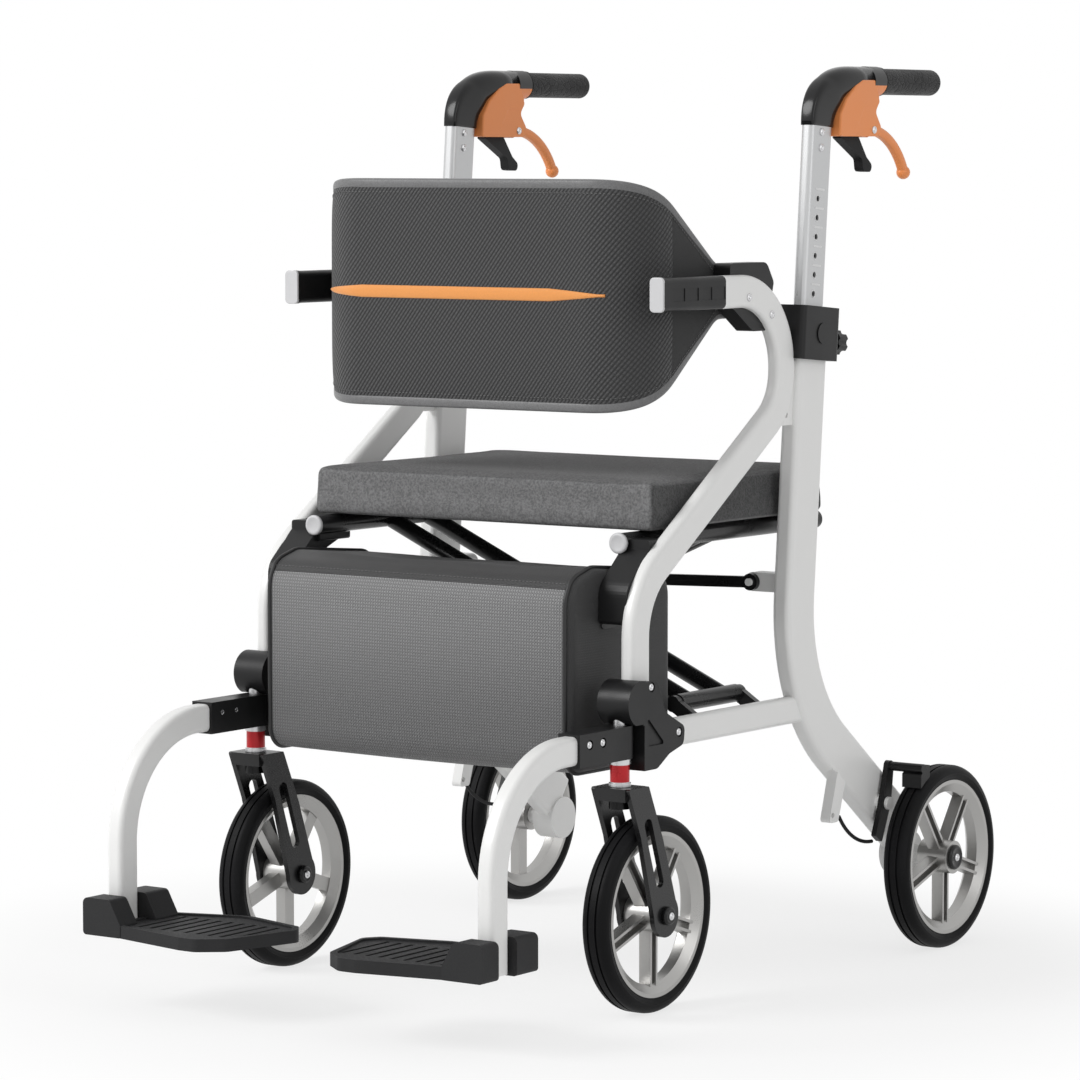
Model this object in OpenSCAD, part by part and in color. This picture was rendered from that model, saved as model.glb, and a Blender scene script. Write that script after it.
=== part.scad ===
// Rollator transport chair: a walking frame with a seat, a swing-over back band and
// swing-away footrests. Millimetres, floor at Z = 0, front of the chair towards -Y,
// +X to the sitter's left. The origin is on the floor under the middle of the whole chair.

/* [Stance] */
// Distance between the centre planes of the two side frames
track = 464; // [440:2:500]
// Distance between the front and the rear axles
wheelbase = 500; // [470:2:540]
// Outside radius of every tyre
tyre_r = 100; // [95:1:105]
// Width of every tyre
tyre_w = 30; // [26:1:34]
// How far the rear wheels stand outboard of the frame plane
rear_outset = 49; // [46:1:56]

/* [Side frame] */
// Height of the arm tube's centreline
arm_z = 723; // [705:1:745]
// Front end of the arm, from the middle of the wheelbase
arm_tip_y = -228; // [-250:1:-210]
// Rearmost centreline of the arm tube, where it meets the upright
arm_back_y = -1; // [-6:1:0]
// In-plane depth of the arm tube
arm_d = 34; // [30:1:36]
// Width of the arm tube
arm_b = 16; // [14:1:18]
// Bend radius at the top of the arm tube
arm_r = 82; // [70:1:90]
// Bend radius where the arm tube turns forward
knee_r = 64; // [55:1:75]
// Slope of the diagonal below the horizontal
diag_deg = 33.3; // [31:0.1:36]
// Bend radius where the diagonal turns down
shin_r = 85; // [60:1:100]
// Centreline of the front leg
leg_y = -273; // [-276:1:-270]
// Lower end of the front leg
leg_end_z = 301; // [300:1:306]
// Centre height of the lower rail
rail_z = 280; // [276:1:282]
// Height of the lower rail's section
rail_d = 29; // [26:1:30]
// Top end of the upright
upright_top_z = 655; // [645:1:665]
// Centreline of the upright at its top end
upright_y = 47.6; // [46:0.2:52]
// Rearward lean of the upright and the handle
lean = 4.75; // [4:0.25:5.5]
// In-plane depth of the upright
upright_d = 55; // [53:1:57]
// Width of the upright
upright_b = 21; // [20.5:0.5:22]
// Height where the upright starts to sweep back
sweep_z = 400; // [390:1:420]
// Radius of the upright's rearward sweep
sweep_r = 190; // [180:1:200]
// How far the rear axle lies below the upright's centreline
axle_drop = 22; // [18:1:24]
// Edge radius of the flat-sided tubes
edge_r = 6; // [4:0.5:8]
// Wall of the upright's hollow
upright_wall = 2; // [1.8:0.1:2.2]

/* [Handles] */
// In-plane depth of the handle tube
handle_d = 41; // [38:1:42]
// Width of the handle tube
handle_b = 16; // [14:0.5:16]
// Length of handle tube above the upright's top end
handle_rise = 245; // [220:1:260]
// Length of handle tube hidden in the upright at rest
handle_sunk = 115; // [100:1:120]
// Lowest point of the handle's travel below the rest height
handle_drop = 115; // [80:1:118]
// Centreline radius of the handle elbow
elbow_r = 45; // [42:1:50]
// Depth and width of the elbow's section
elbow_d = 37; // [34:1:39]
elbow_b = 22; // [19:0.5:24]
// Straight length of the elbow before the grip
elbow_run = 46; // [40:1:52]
// Radius and length of the hand grip
grip_r = 14; // [13:0.5:16]
grip_len = 118; // [100:1:130]
// Height and depth of the height clamp
clamp_h = 56; // [50:1:62]
clamp_d = 74; // [70:1:80]
// Width of the height clamp
clamp_b = 37; // [32:1:38]

/* [Casters] */
// Trail of the front wheel behind its stem
trail = 50; // [44:1:54]
// Gap in the fork for the wheel
fork_gap = 35; // [34:1:40]
// Thickness of each fork leg
fork_t = 5.5; // [5:0.5:7]
// Height of the fork crown's top
crown_z = 235; // [228:1:236]
// Thickness of the fork crown
crown_t = 13; // [10:1:16]
// Radius of the stem post
post_r = 7; // [6:0.5:8]
// Width of the front bracket
bracket_w = 38; // [36:1:42]
// Number of wheel spokes
spokes = 5; // [5:1:8]
// Depth of the tyre from its rim to its tread
tyre_t = 16; // [14:1:18]

/* [Footrests] */
// Length from the swing post to the end of the hinge block
hinge_len = 89; // [80:1:95]
// Depth and width of the foot tube
foot_d = 29; // [26:1:30]
foot_b = 20; // [16:0.5:20]
// Bend radius of the foot tube
foot_r = 115.5; // [105:0.5:120]
// Height of the footplate's top face
plate_z = 88; // [80:1:92]
// Thickness of the footplate
plate_t = 13; // [10:1:15]
// Height of the footplate's hinge pin above its top face
plate_pin_rise = 15; // [14:0.5:18]
// Reach of the footplate inward from the frame plane
plate_reach = 192; // [170:1:200]

/* [Folding cross] */
// Distance of the brace pivots and the seat rails from the middle
brace_x = 194; // [190:0.5:196]
// Height of the lower brace pivots
brace_low_z = 300; // [298:1:303]
// Height of the seat rails
brace_top_z = 473; // [468:1:478]
// Radius of the brace tubes
brace_r = 9; // [8:0.25:9.5]
// Radius of the seat rails
seat_rail_r = 10; // [9:0.25:11]
// Spacing of the four brace tubes along Y
brace_pitch = 22; // [21:0.5:26]
// Middle of the brace tubes along Y
brace_y = -84; // [-92:1:-80]
// Front and rear ends of the seat rails
seat_rail_front = -247; // [-250:1:-240]
seat_rail_rear = 128; // [115:1:135]

/* [Soft parts] */
// Gap between the seat cushion and each arm tube
seat_clear = 7; // [3:0.5:15]
// Front and rear edges of the seat cushion
seat_front = -221; // [-228:1:-210]
seat_rear = 111; // [100:1:118]
// Thickness of the seat cushion at its edge
seat_t = 46; // [36:1:52]
// Extra height of the cushion in its middle
seat_crown = 5; // [0:0.5:8]
// How far the cushion's sides draw in between the corners
seat_draw = 4; // [0:0.5:6]
// Height of the back band
band_h = 240; // [200:1:250]
// Thickness of the back band
band_t = 14; // [10:1:18]
// Front of the back band
band_front = -238; // [-245:1:-225]
// Corner radius of the back band in plan
band_r = 68; // [60:1:80]
// Width, front and rear of the storage bag
bag_w = 388; // [350:1:389]
bag_front = -331; // [-336:1:-320]
bag_rear = -151; // [-160:1:-148]
// Bottom and top of the storage bag
bag_low = 246; // [243:1:256]
bag_top = 450; // [440:1:455]

/* [Clearances] */
// Radial running clearance of pins and axles
run = 0.08; // [0.05:0.01:0.1]
// Gap between faces that move past each other
gap = 0.5; // [0.4:0.1:0.6]

/* [Hidden] */
$fn = 48;
frame_x = track / 2;
front_axle_y = -wheelbase / 2;
rear_axle_y = wheelbase / 2;
post_y = front_axle_y - trail;
rear_wheel_x = frame_x + rear_outset;
rim_r = tyre_r - tyre_t;
seat_w = track - arm_b - 2 * seat_clear;

// The middle of the wheelbase lies behind the middle of the whole chair
plate_front_y = -577;
chair_rear_y = rear_axle_y + tyre_r;
mid_y = -(plate_front_y + chair_rear_y) / 2;

// Arm tube runs
diag_turn = 90 - diag_deg;
arm_run = arm_back_y - arm_r - arm_tip_y;
bend_gap = 2;
bend_reach = (knee_r + shin_r) * (1 - cos(diag_turn));
diag_run = (arm_back_y - leg_y - bend_reach) / cos(diag_deg);
leg_top_z = arm_z - arm_r - bend_gap - (knee_r + shin_r) * sin(diag_turn) - diag_run * sin(diag_deg);
leg_run = leg_top_z - leg_end_z;
arm_path = [[arm_run], [-90, arm_r], [bend_gap], [-diag_turn, knee_r], [diag_run],
            [diag_turn, shin_r], [leg_run]];

// Upright runs: straight down, then a sweep whose last straight ends above the rear axle
upright_run = (upright_top_z - sweep_z) / cos(lean);
sweep_start_y = upright_y - (upright_top_z - sweep_z) * tan(lean);
sweep_c = [sweep_start_y + sweep_r * cos(lean), sweep_z - sweep_r * sin(lean)];
to_axle = [rear_axle_y, tyre_r + axle_drop] - sweep_c;
foot_run = sqrt(to_axle * to_axle - sweep_r * sweep_r);
sweep_end = atan2(to_axle[1], to_axle[0]) + atan2(sweep_r, foot_run);
sweep_turn = sweep_end + 90 + lean;
upright_path = [[upright_run], [sweep_turn, sweep_r], [foot_run]];
rail_rear_y = sweep_c[0] - sqrt(sweep_r * sweep_r - pow(sweep_c[1] - rail_z, 2));
axle_boss_r = 24;
axle_boss_w = 27;
axle_r = 6;
spacer_r = 10;
hub_w = 36;
hub_r = 18;
axle_end_x = rear_wheel_x + hub_w / 2 + 2;

// Handle
elbow_turn = 90 - lean;
elbow_start = [upright_y + handle_rise * sin(lean), upright_top_z + handle_rise * cos(lean)];
grip_z = elbow_start[1] + elbow_r * (1 - sin(lean));
elbow_end_y = elbow_start[0] + elbow_r * cos(lean);
grip_y = elbow_end_y + elbow_run + 28;
core_r = 10;
lever_pivot = [elbow_end_y + 46, grip_z - elbow_d / 2 - 33];
lever_r = 81;
lever_deg = 64;
lever_w = 12;
lever_h = 11;
knob_rise = 14;

// Front bracket and caster
hinge_low_z = 263.5;
hinge_high_z = rail_z + 16.6;
collar_top_z = hinge_low_z - gap;
post_top_z = 319;
post_low_z = crown_z - crown_t - 9;
nose_r = 23;
nose_y = post_y + 10;
nose_z = hinge_high_z + gap + 21;

// Footplate
plate_axis_z = plate_z + plate_pin_rise;
foot_y = post_y - hinge_len - 13 - foot_r;
foot_end_z = plate_z - 11;
ear_r = 14;
plate_pin_r = 4;

// Folding cross
brace_half = [brace_x, (brace_top_z - brace_low_z) / 2];
brace_mid_z = (brace_top_z + brace_low_z) / 2;
brace_len = 2 * norm(brace_half);
brace_deg = atan2(brace_half[1], brace_half[0]);
brace_bolt_r = 5;
pivot_rod_r = 5.5;
pivot_sleeve_r = 9.5;
pivot_half = 1.5 * brace_pitch + 23;
link_pivot_x = brace_x - 4;
link_pivot_z = 414;
link_y = 8;
link_t = 6;
link_along = 155;
link_end = [brace_x - link_along * cos(brace_deg), brace_top_z - link_along * sin(brace_deg)];
link_len = norm(link_end - [link_pivot_x, link_pivot_z]);
link_tilt = atan2(link_pivot_z - link_end[1], link_pivot_x - link_end[0]);

// Back band
band_pivot_y = -62;
band_pivot_z = arm_z - 1;
band_pin_r = 5;
band_gap = 12.6;
band_side_x = frame_x - arm_b / 2 - band_gap;
band_z = 717;
tab_h = 52;

// Brake at the rear wheel
shoe_deg = 118.5;
shoe_gap = 1.8;
shoe_r = tyre_r + shoe_gap;
brake_bar_t = 6;
brake_x = frame_x + axle_boss_w / 2 + gap;
brake_pivot = [rear_axle_y - 64, tyre_r + 63];
brake_tail = [rear_axle_y - 81, tyre_r + 26];
bridge_c = [rear_axle_y + (shoe_r + 15) * cos(shoe_deg), tyre_r + (shoe_r + 15) * sin(shoe_deg)];
cable_lug = [rear_axle_y - 170, tyre_r + 60];
cable_r = 2;

// Hairline ring at the seams of a bent tube
seam = 0.3;
seam_proud = 0.04;

white = [0.93, 0.93, 0.92];
silver = [0.78, 0.79, 0.8];
black = [0.09, 0.09, 0.1];
rubber = [0.05, 0.05, 0.055];
orange = [0.9, 0.47, 0.22];
red = [0.75, 0.05, 0.08];
charcoal = [0.2, 0.2, 0.21];

PAIRED = ["upright", "arm_tube", "arm_pad", "band_bracket", "height_clamp", "clamp_knob",
          "front_bracket", "stem_post", "seat_saddle", "handle_tube", "handle_elbow", "hand_grip",
          "brake_housing", "cable_boot", "brake_lever", "caster_fork", "front_axle", "front_rim",
          "front_tyre", "rear_rim", "rear_tyre", "brake_arm", "brake_cable", "foot_hinge",
          "foot_tube", "footplate", "link_arm"];

// Shared shapes

function unit(v) = v / norm(v);
function corner_arc(before, p, after, r, n = 6) =
    let (u = unit(before - p), v = unit(after - p), half = acos(u * v) / 2,
         c = p + unit(u + v) * r / sin(half), s = p + u * r / tan(half) - c,
         e = p + v * r / tan(half) - c, a = atan2(s[1], s[0]), turn = atan2(e[1], e[0]) - a,
         d = turn > 180 ? turn - 360 : turn < -180 ? turn + 360 : turn)
    [for (i = [0:n]) c + r * [cos(a + d * i / n), sin(a + d * i / n)]];
function xy(p) = [p[0], p[1]];
// Outline of corners [x, y, radius]
function rounded(pts) = [for (i = [0:len(pts) - 1])
    let (n = len(pts), p = pts[i])
    each (p[2] > 0 ? corner_arc(xy(pts[(i + n - 1) % n]), xy(p), xy(pts[(i + 1) % n]), p[2]) : [xy(p)])];

// Section of a flat-sided tube with rounded edges
module flat_bar(d, b) {
    r = min(edge_r, b / 2 - 1);
    square([d - 2 * r, b], center = true);
    square([d, b - 2 * r], center = true);
    for (x = [-1, 1], y = [-1, 1]) translate([x * (d / 2 - r), y * (b / 2 - r)]) circle(r = r, $fn = 32);
}

// One bend of a flat-sided tube, towards +X for a positive turn
module bend(turn, r, d, b) {
    side = turn > 0 ? 0 : 1;
    mirror([side, 0, 0]) translate([r, 0, 0]) rotate([90, 0, 180])
        rotate_extrude(angle = abs(turn), $fn = 96) translate([r, 0]) flat_bar(d, b);
}

// A flat-sided tube along straight runs [length] and bends [turn, radius]; a hairline ring closes each seam
module bent_tube(path, d, b, i = 0) {
    if (i < len(path)) {
        step = path[i];
        if (len(step) == 1) {
            late = i > 0 ? seam : 0;
            translate([0, 0, late]) linear_extrude(step[0] - late) flat_bar(d, b);
            if (i > 0) translate([0, 0, -seam]) linear_extrude(3 * seam)
                flat_bar(d + 2 * seam_proud, b + 2 * seam_proud);
            translate([0, 0, step[0]]) bent_tube(path, d, b, i + 1);
        } else {
            bend(step[0], step[1], d, b);
            r = sign(step[0]) * step[1];
            translate([r, 0, 0]) rotate([0, step[0], 0]) translate([-r, 0, 0]) bent_tube(path, d, b, i + 1);
        }
    }
}

// Start of a tube in the side plane, heading at an angle from +Y towards +Z
module heading(y, z, angle) {
    translate([frame_x, y, z]) rotate([angle - 90, 0, 0]) rotate([0, 0, -90]) children();
}

// A side-view outline (Y, Z) as a slab of thickness t about X = x
module slab(x, t) {
    translate([x, 0, 0]) rotate([90, 0, 90]) linear_extrude(t, center = true) children();
}

// A cylinder along X between x0 and x1
module rod_x(x0, x1, y, z, r) {
    translate([x0, y, z]) rotate([0, 90, 0]) cylinder(h = x1 - x0, r = r);
}

// A cylinder along Y between y0 and y1
module rod_y(x, y0, y1, z, r) {
    translate([x, y1, z]) rotate([90, 0, 0]) cylinder(h = y1 - y0, r = r);
}

// A cylinder along Z between z0 and z1
module rod_z(x, y, z0, z1, r) {
    translate([x, y, z0]) cylinder(h = z1 - z0, r = r);
}

// The upright's leaning axis, with its top end at the origin
module on_upright() {
    translate([frame_x, upright_y, upright_top_z]) rotate([-lean, 0, 0]) children();
}

module left(name) {
    translate([0, mid_y, 0]) children();
}
module right(name) {
    translate([0, mid_y, 0]) mirror([1, 0, 0]) children();
}
module middle(name) {
    translate([0, mid_y, 0]) children();
}

// Side frame

module upright_shape() {
    heading(upright_y, upright_top_z, -90 - lean) bent_tube(upright_path, upright_d, upright_b);
}

module rail_shape() {
    translate([frame_x, rail_rear_y, rail_z]) rotate([90, 0, 0])
        linear_extrude(rail_rear_y - leg_y - 27) rotate([0, 0, 90]) flat_bar(rail_d, arm_b - 2);
}

// Lugs and rod on the lower rail that carry the foot of a brace
module brace_lugs() {
    lug_t = 8;
    lug_r = pivot_rod_r + 3;
    inner = frame_x - arm_b / 2 + 2;
    for (s = [-1, 1]) translate([0, brace_y + s * (pivot_half + lug_t / 2), 0]) {
        rotate([90, 0, 0]) linear_extrude(lug_t, center = true) {
            translate([brace_x, brace_low_z]) circle(r = lug_r);
            polygon([[brace_x, brace_low_z + lug_r], [inner, rail_z + 8],
                     [inner, rail_z - 8], [brace_x, brace_low_z - lug_r]]);
        }
    }
    rod_y(brace_x, brace_y - pivot_half - lug_t, brace_y + pivot_half + lug_t, brace_low_z, pivot_rod_r);
}

// Welded tab on the upright's inner face that carries a link arm
module link_lug() {
    y = link_y + link_t / 2 + gap;
    depth = 18;
    difference() {
        translate([0, y + depth / 2, 0]) rotate([90, 0, 0]) linear_extrude(depth, center = true) {
            translate([link_pivot_x, link_pivot_z]) circle(r = 10);
            translate([link_pivot_x, link_pivot_z - 10])
                square([frame_x - upright_b / 2 + 1 - link_pivot_x, 20]);
        }
        upright_shape();
    }
    rod_y(link_pivot_x, link_y - link_t / 2 - 3, y + 1, link_pivot_z, 4);
}

// Tab under the upright where the brake cable leaves it
module cable_tab() {
    tab_t = 12;
    difference() {
        slab(brake_x - tab_t / 4, tab_t) difference() {
            polygon(rounded([[cable_lug[0] - 8, cable_lug[1] - 6, 4], [cable_lug[0] + 10, cable_lug[1] - 6, 4],
                             [cable_lug[0] + 34, cable_lug[1] + 62, 2], [cable_lug[0] + 14, cable_lug[1] + 66, 2]]));
            translate([cable_lug[0] - 1, cable_lug[1] + 2]) circle(r = 3);
        }
        translate([upright_b - 1, 0, 0]) upright_shape();
    }
}

// Web that closes the crook between the arm tube and the upright; it stops in the upright's front wall
function upright_front(z) = upright_y - (upright_top_z - z) * tan(lean) - upright_d / 2 / cos(lean);
module gusset() {
    low = upright_top_z - 74;
    high = upright_top_z - 7;
    bite = upright_wall * 0.6;
    difference() {
        slab(frame_x, arm_b / 2) difference() {
            polygon([[arm_back_y - 16, low], [upright_front(low) + bite, low],
                     [upright_front(high) + bite, high], [arm_back_y - 4, high]]);
            translate([arm_back_y + 4, low + 11]) circle(r = 3);
        }
        arm_shape();
    }
}

// Fixed bolt that the brake arm turns on
module brake_bolt() {
    head_x = brake_x + brake_bar_t + gap;
    rod_x(frame_x, brake_x - gap, brake_pivot[0], brake_pivot[1], 9);
    rod_x(frame_x, head_x + 1, brake_pivot[0], brake_pivot[1], 4);
    rod_x(head_x, head_x + 4, brake_pivot[0], brake_pivot[1], 7);
}

module upright() {
    hollow = handle_sunk + handle_drop + 8;
    color(white) union() {
        difference() {
            union() {
                upright_shape();
                rail_shape();
                rod_x(frame_x - axle_boss_w / 2, frame_x + axle_boss_w / 2, rear_axle_y, tyre_r, axle_boss_r);
            }
            on_upright() translate([0, 0, -hollow]) linear_extrude(hollow + 1) rotate([0, 0, 90])
                flat_bar(upright_d - 2 * upright_wall, upright_b - 2 * upright_wall);
        }
        gusset();
        brace_lugs();
        link_lug();
        cable_tab();
        brake_bolt();
        rod_x(frame_x, rear_wheel_x - hub_w / 2 - gap, rear_axle_y, tyre_r, spacer_r);
        rod_x(frame_x, axle_end_x, rear_axle_y, tyre_r, axle_r);
    }
}

module arm_shape(d = arm_d, b = arm_b) {
    heading(arm_tip_y, arm_z, 0) bent_tube(arm_path, d, b);
}

pad_len = 108;
pad_skin = 1.5;
cap_len = 6;
module arm_pad_shape(grow) {
    heading(arm_tip_y, arm_z, 0) linear_extrude(pad_len) flat_bar(arm_d - 2 * grow, arm_b - 2 * grow);
}

module arm_tube() {
    color(white) difference() {
        arm_shape();
        upright_shape();
        difference() {
            translate([frame_x - arm_b, arm_tip_y - 1, arm_z - arm_d]) cube([2 * arm_b, pad_len + 1, 2 * arm_d]);
            arm_pad_shape(pad_skin);
        }
    }
}

// Moulded sleeve on the front of the arm, with a flat plug and pressed-in panels
module arm_pad() {
    panel = [22, 17, 0.7];
    color(black) {
        difference() {
            arm_pad_shape(0);
            arm_pad_shape(pad_skin);
            for (i = [0:3]) translate([frame_x + arm_b / 2 - panel[2] + 0.01,
                                       arm_tip_y + 10 + i * 25, arm_z - 7])
                cube([2, panel[0], panel[1] - 4]);
        }
        heading(arm_tip_y - cap_len, arm_z, 0) linear_extrude(cap_len) flat_bar(arm_d + 1, arm_b + 1);
    }
}

module band_bracket() {
    inner = band_side_x + gap;
    face = frame_x - arm_b / 2;
    pin_in = 5.2;
    back = band_pivot_y + 32;
    color(black) {
        difference() {
            slab((inner + face + arm_b / 2) / 2, face + arm_b / 2 - inner)
                polygon(rounded([[back - 70, arm_z + 29, 6], [back, arm_z + 29, 12], [back + 14, arm_z + 8, 6],
                                 [back, arm_z - 42, 6], [back - 26, arm_z - 42, 6], [back - 70, arm_z - 14, 10]]));
            arm_shape();
            upright_shape();
        }
        rod_x(band_side_x - pin_in, inner + 1, band_pivot_y, band_pivot_z, band_pin_r);
    }
}

// Height clamp: seats on the upright and guides the handle tube
module height_clamp() {
    skirt = 7;
    color(black) difference() {
        on_upright() union() {
            translate([0, 0, -skirt]) linear_extrude(clamp_h)
                polygon(rounded([[-clamp_b / 2, -clamp_d / 2, 6], [clamp_b / 2, -clamp_d / 2, 6],
                                 [clamp_b / 2, clamp_d / 2, 6], [-clamp_b / 2, clamp_d / 2, 6]]));
            translate([0, clamp_d / 2 - 1, knob_rise]) rotate([-90, 0, 0]) cylinder(h = 5, r = 9);
            translate([clamp_b / 2 - 1, 2, clamp_h / 2 - skirt]) rotate([0, 90, 0]) cylinder(h = 2.2, r = 11);
        }
        upright_shape();
        arm_shape();
        on_upright() {
            translate([0, 0, -skirt - 1]) linear_extrude(clamp_h + 2) rotate([0, 0, 90])
                flat_bar(handle_d + 2 * gap, handle_b + 2 * gap);
            translate([0, 0, knob_rise]) rotate([-90, 0, 0]) cylinder(h = clamp_d, r = 4 + run);
        }
    }
}

module clamp_knob() {
    seat = clamp_d / 2 + 4 + gap;
    color(black) on_upright() translate([0, 0, knob_rise]) rotate([-90, 0, 0]) {
        translate([0, 0, handle_d / 2 + gap]) cylinder(h = seat + 12 - handle_d / 2 - gap, r = 4);
        translate([0, 0, seat]) {
            cylinder(h = 8, r = 8);
            translate([0, 0, 6]) difference() {
                cylinder(h = 16, r = 13);
                for (i = [0:5]) rotate(i * 60) translate([15.5, 0, -1]) cylinder(h = 18, r = 5);
                translate([0, 0, 14]) cylinder(h = 3, r = 6);
            }
        }
    }
}

// Handle

module handle_tube() {
    marks = 6;
    mark_pitch = 20;
    color(silver) on_upright() difference() {
        translate([0, 0, -handle_sunk]) linear_extrude(handle_sunk + handle_rise) rotate([0, 0, 90])
            difference() {
                flat_bar(handle_d, handle_b);
                flat_bar(handle_d - 4, handle_b - 4);
            }
        for (i = [0:marks - 1]) translate([handle_b / 2 - 3, -4, 62 + i * mark_pitch])
            rotate([0, 90, 0]) cylinder(h = 5, r = 3);
    }
}

module elbow_shape(d, b) {
    heading(elbow_start[0], elbow_start[1], 90 - lean) bent_tube([[-elbow_turn, elbow_r], [elbow_run]], d, b);
}

module handle_elbow() {
    plug = 22;
    socket = 9;
    color(black) {
        elbow_shape(elbow_d, elbow_b);
        on_upright() {
            translate([0, 0, handle_rise - plug]) linear_extrude(plug + 3) rotate([0, 0, 90])
                flat_bar(handle_d - 11, handle_b - 5);
            translate([0, 0, handle_rise - socket]) difference() {
                linear_extrude(socket + 4) rotate([0, 0, 90]) flat_bar(handle_d + 4, handle_b + 5);
                translate([0, 0, -1]) linear_extrude(socket + 1) rotate([0, 0, 90]) flat_bar(handle_d, handle_b);
            }
        }
        translate([frame_x, elbow_end_y + elbow_run - 5, grip_z]) rotate([-90, 0, 0])
            cylinder(h = 33 + grip_len - 8, r = core_r);
    }
}

module hand_grip() {
    round_r = 6;
    color(rubber) translate([frame_x, grip_y, grip_z]) rotate([-90, 0, 0]) rotate_extrude() difference() {
        union() {
            square([grip_r, grip_len - round_r]);
            square([grip_r - round_r, grip_len]);
            translate([grip_r - round_r, grip_len - round_r]) circle(r = round_r);
            square([grip_r + 1.5, 4]);
        }
        translate([-1, -1]) square([core_r + 1, grip_len - 8 + 1]);
        translate([-grip_len, -1]) square([grip_len, 2 * grip_len]);
    }
}

module brake_housing() {
    w = 30;
    top = grip_z - elbow_d / 2 + 0.5;
    low = lever_pivot[1] - 7;
    slot = lever_w + 2 * gap;
    y1 = elbow_end_y + elbow_run + 2;
    color(orange) difference() {
        union() {
            difference() {
                slab(frame_x, w) polygon(rounded([[elbow_end_y - 19, low, 3], [lever_pivot[0] + 9, low, 5],
                    [lever_pivot[0] + 15, low + 10, 4], [lever_pivot[0] + 3, low + 26, 6],
                    [y1 + 12, top, 3], [elbow_end_y - 2, top + 1, 3], [elbow_end_y - 17, low + 22, 3]]));
                elbow_shape(elbow_d, elbow_b);
                on_upright() translate([0, 0, handle_rise - 60]) linear_extrude(66) rotate([0, 0, 90])
                    flat_bar(handle_d + 5, handle_b + 6);
            }
            rod_y(frame_x, y1, y1 + 24, grip_z, core_r + 6);
            translate([frame_x - 8, y1, top - 4]) cube([16, 11, 8]);
        }
        rod_y(frame_x, y1 - 10, y1 + 30, grip_z, core_r);
        translate([frame_x - slot / 2, lever_pivot[0] - 11, low - 10]) cube([slot, 60, 34]);
        rod_x(frame_x - w, frame_x + w, lever_pivot[0], lever_pivot[1], 3 + run);
    }
}

// Fixed rubber boot where the brake cable enters the handle
module cable_boot() {
    low = lever_pivot[1] - 7;
    y = elbow_end_y;
    color(black) slab(frame_x, 11) polygon(rounded([[y - 8, low, 1], [y + 30, low, 1], [y + 47, low - 22, 6],
        [y + 58, low - 30, 5], [y + 56, low - 38, 5], [y + 40, low - 37, 5], [y + 38, low - 24, 6]]));
}

module brake_lever() {
    color(orange) {
        difference() {
            union() {
                rod_x(frame_x - lever_w / 2, frame_x + lever_w / 2, lever_pivot[0], lever_pivot[1], 8);
                heading(lever_pivot[0], lever_pivot[1], 0)
                    bent_tube([[14], [-lever_deg, lever_r]], lever_h, lever_h - 0.5);
            }
        }
        translate([frame_x, lever_pivot[0] + 14 + lever_r * sin(lever_deg),
                   lever_pivot[1] - lever_r * (1 - cos(lever_deg))]) sphere(r = 7.5);
        rod_x(frame_x - 14, frame_x + 14, lever_pivot[0], lever_pivot[1], 3);
    }
}

// Front bracket, caster and front wheel

module bracket_outline() {
    translate([nose_y, nose_z]) circle(r = nose_r);
    polygon(rounded([[nose_y, nose_z + nose_r - 1.5, 0], [leg_y + 12, nose_z + 20, 9], [leg_y + 26, rail_z + 26, 20],
                     [leg_y + 62, rail_z + 8, 8], [leg_y + 60, rail_z - 10, 8], [leg_y + 34, rail_z - 17, 10],
                     [leg_y + 12, rail_z - 30, 14], [nose_y + 6, rail_z - 30, 0], [nose_y + 6, nose_z - nose_r + 3, 0],
                     [nose_y, nose_z - nose_r + 3, 0]]));
}

module front_bracket() {
    swing = 15.5;
    color(black) difference() {
        slab(frame_x, bracket_w) bracket_outline();
        arm_shape();
        rail_shape();
        rod_z(frame_x, post_y, hinge_low_z - gap - 30, hinge_high_z + gap, swing);
        translate([frame_x - bracket_w, post_y - 60, hinge_low_z - 30])
            cube([2 * bracket_w, 60 + 14, hinge_high_z + gap - hinge_low_z + 30]);
        rod_z(frame_x, post_y, hinge_high_z, post_top_z, post_r);
        // Pressed-in triangle and screw seats on the outer cheek
        slab(frame_x + bracket_w / 2, 4) polygon(rounded([[leg_y - 6, rail_z + 24, 2],
            [leg_y + 26, rail_z - 6, 2], [leg_y - 4, rail_z - 6, 2]]));
        for (p = [[leg_y + 2, nose_z + 15], [leg_y + 52, rail_z + 3]])
            rod_x(frame_x + bracket_w / 2 - 2, frame_x + bracket_w, p[0], p[1], 5);
    }
}

// Fixed post with the caster's collar stack
module stem_post() {
    ring = 4;
    color(red) translate([frame_x, post_y, 0]) rotate_extrude() polygon([
        [0, post_low_z], [post_r + 4, post_low_z], [post_r + 4, crown_z - crown_t - gap],
        [post_r, crown_z - crown_t - gap], [post_r, crown_z + gap], [post_r + 4.2, crown_z + gap],
        [post_r + 4.2, crown_z + ring], [post_r + 2.8, crown_z + ring], [post_r + 2.8, collar_top_z - ring - 1],
        [post_r + 4.2, collar_top_z - ring - 1], [post_r + 4.2, collar_top_z], [post_r, collar_top_z],
        [post_r, post_top_z], [0, post_top_z]]);
}

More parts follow.
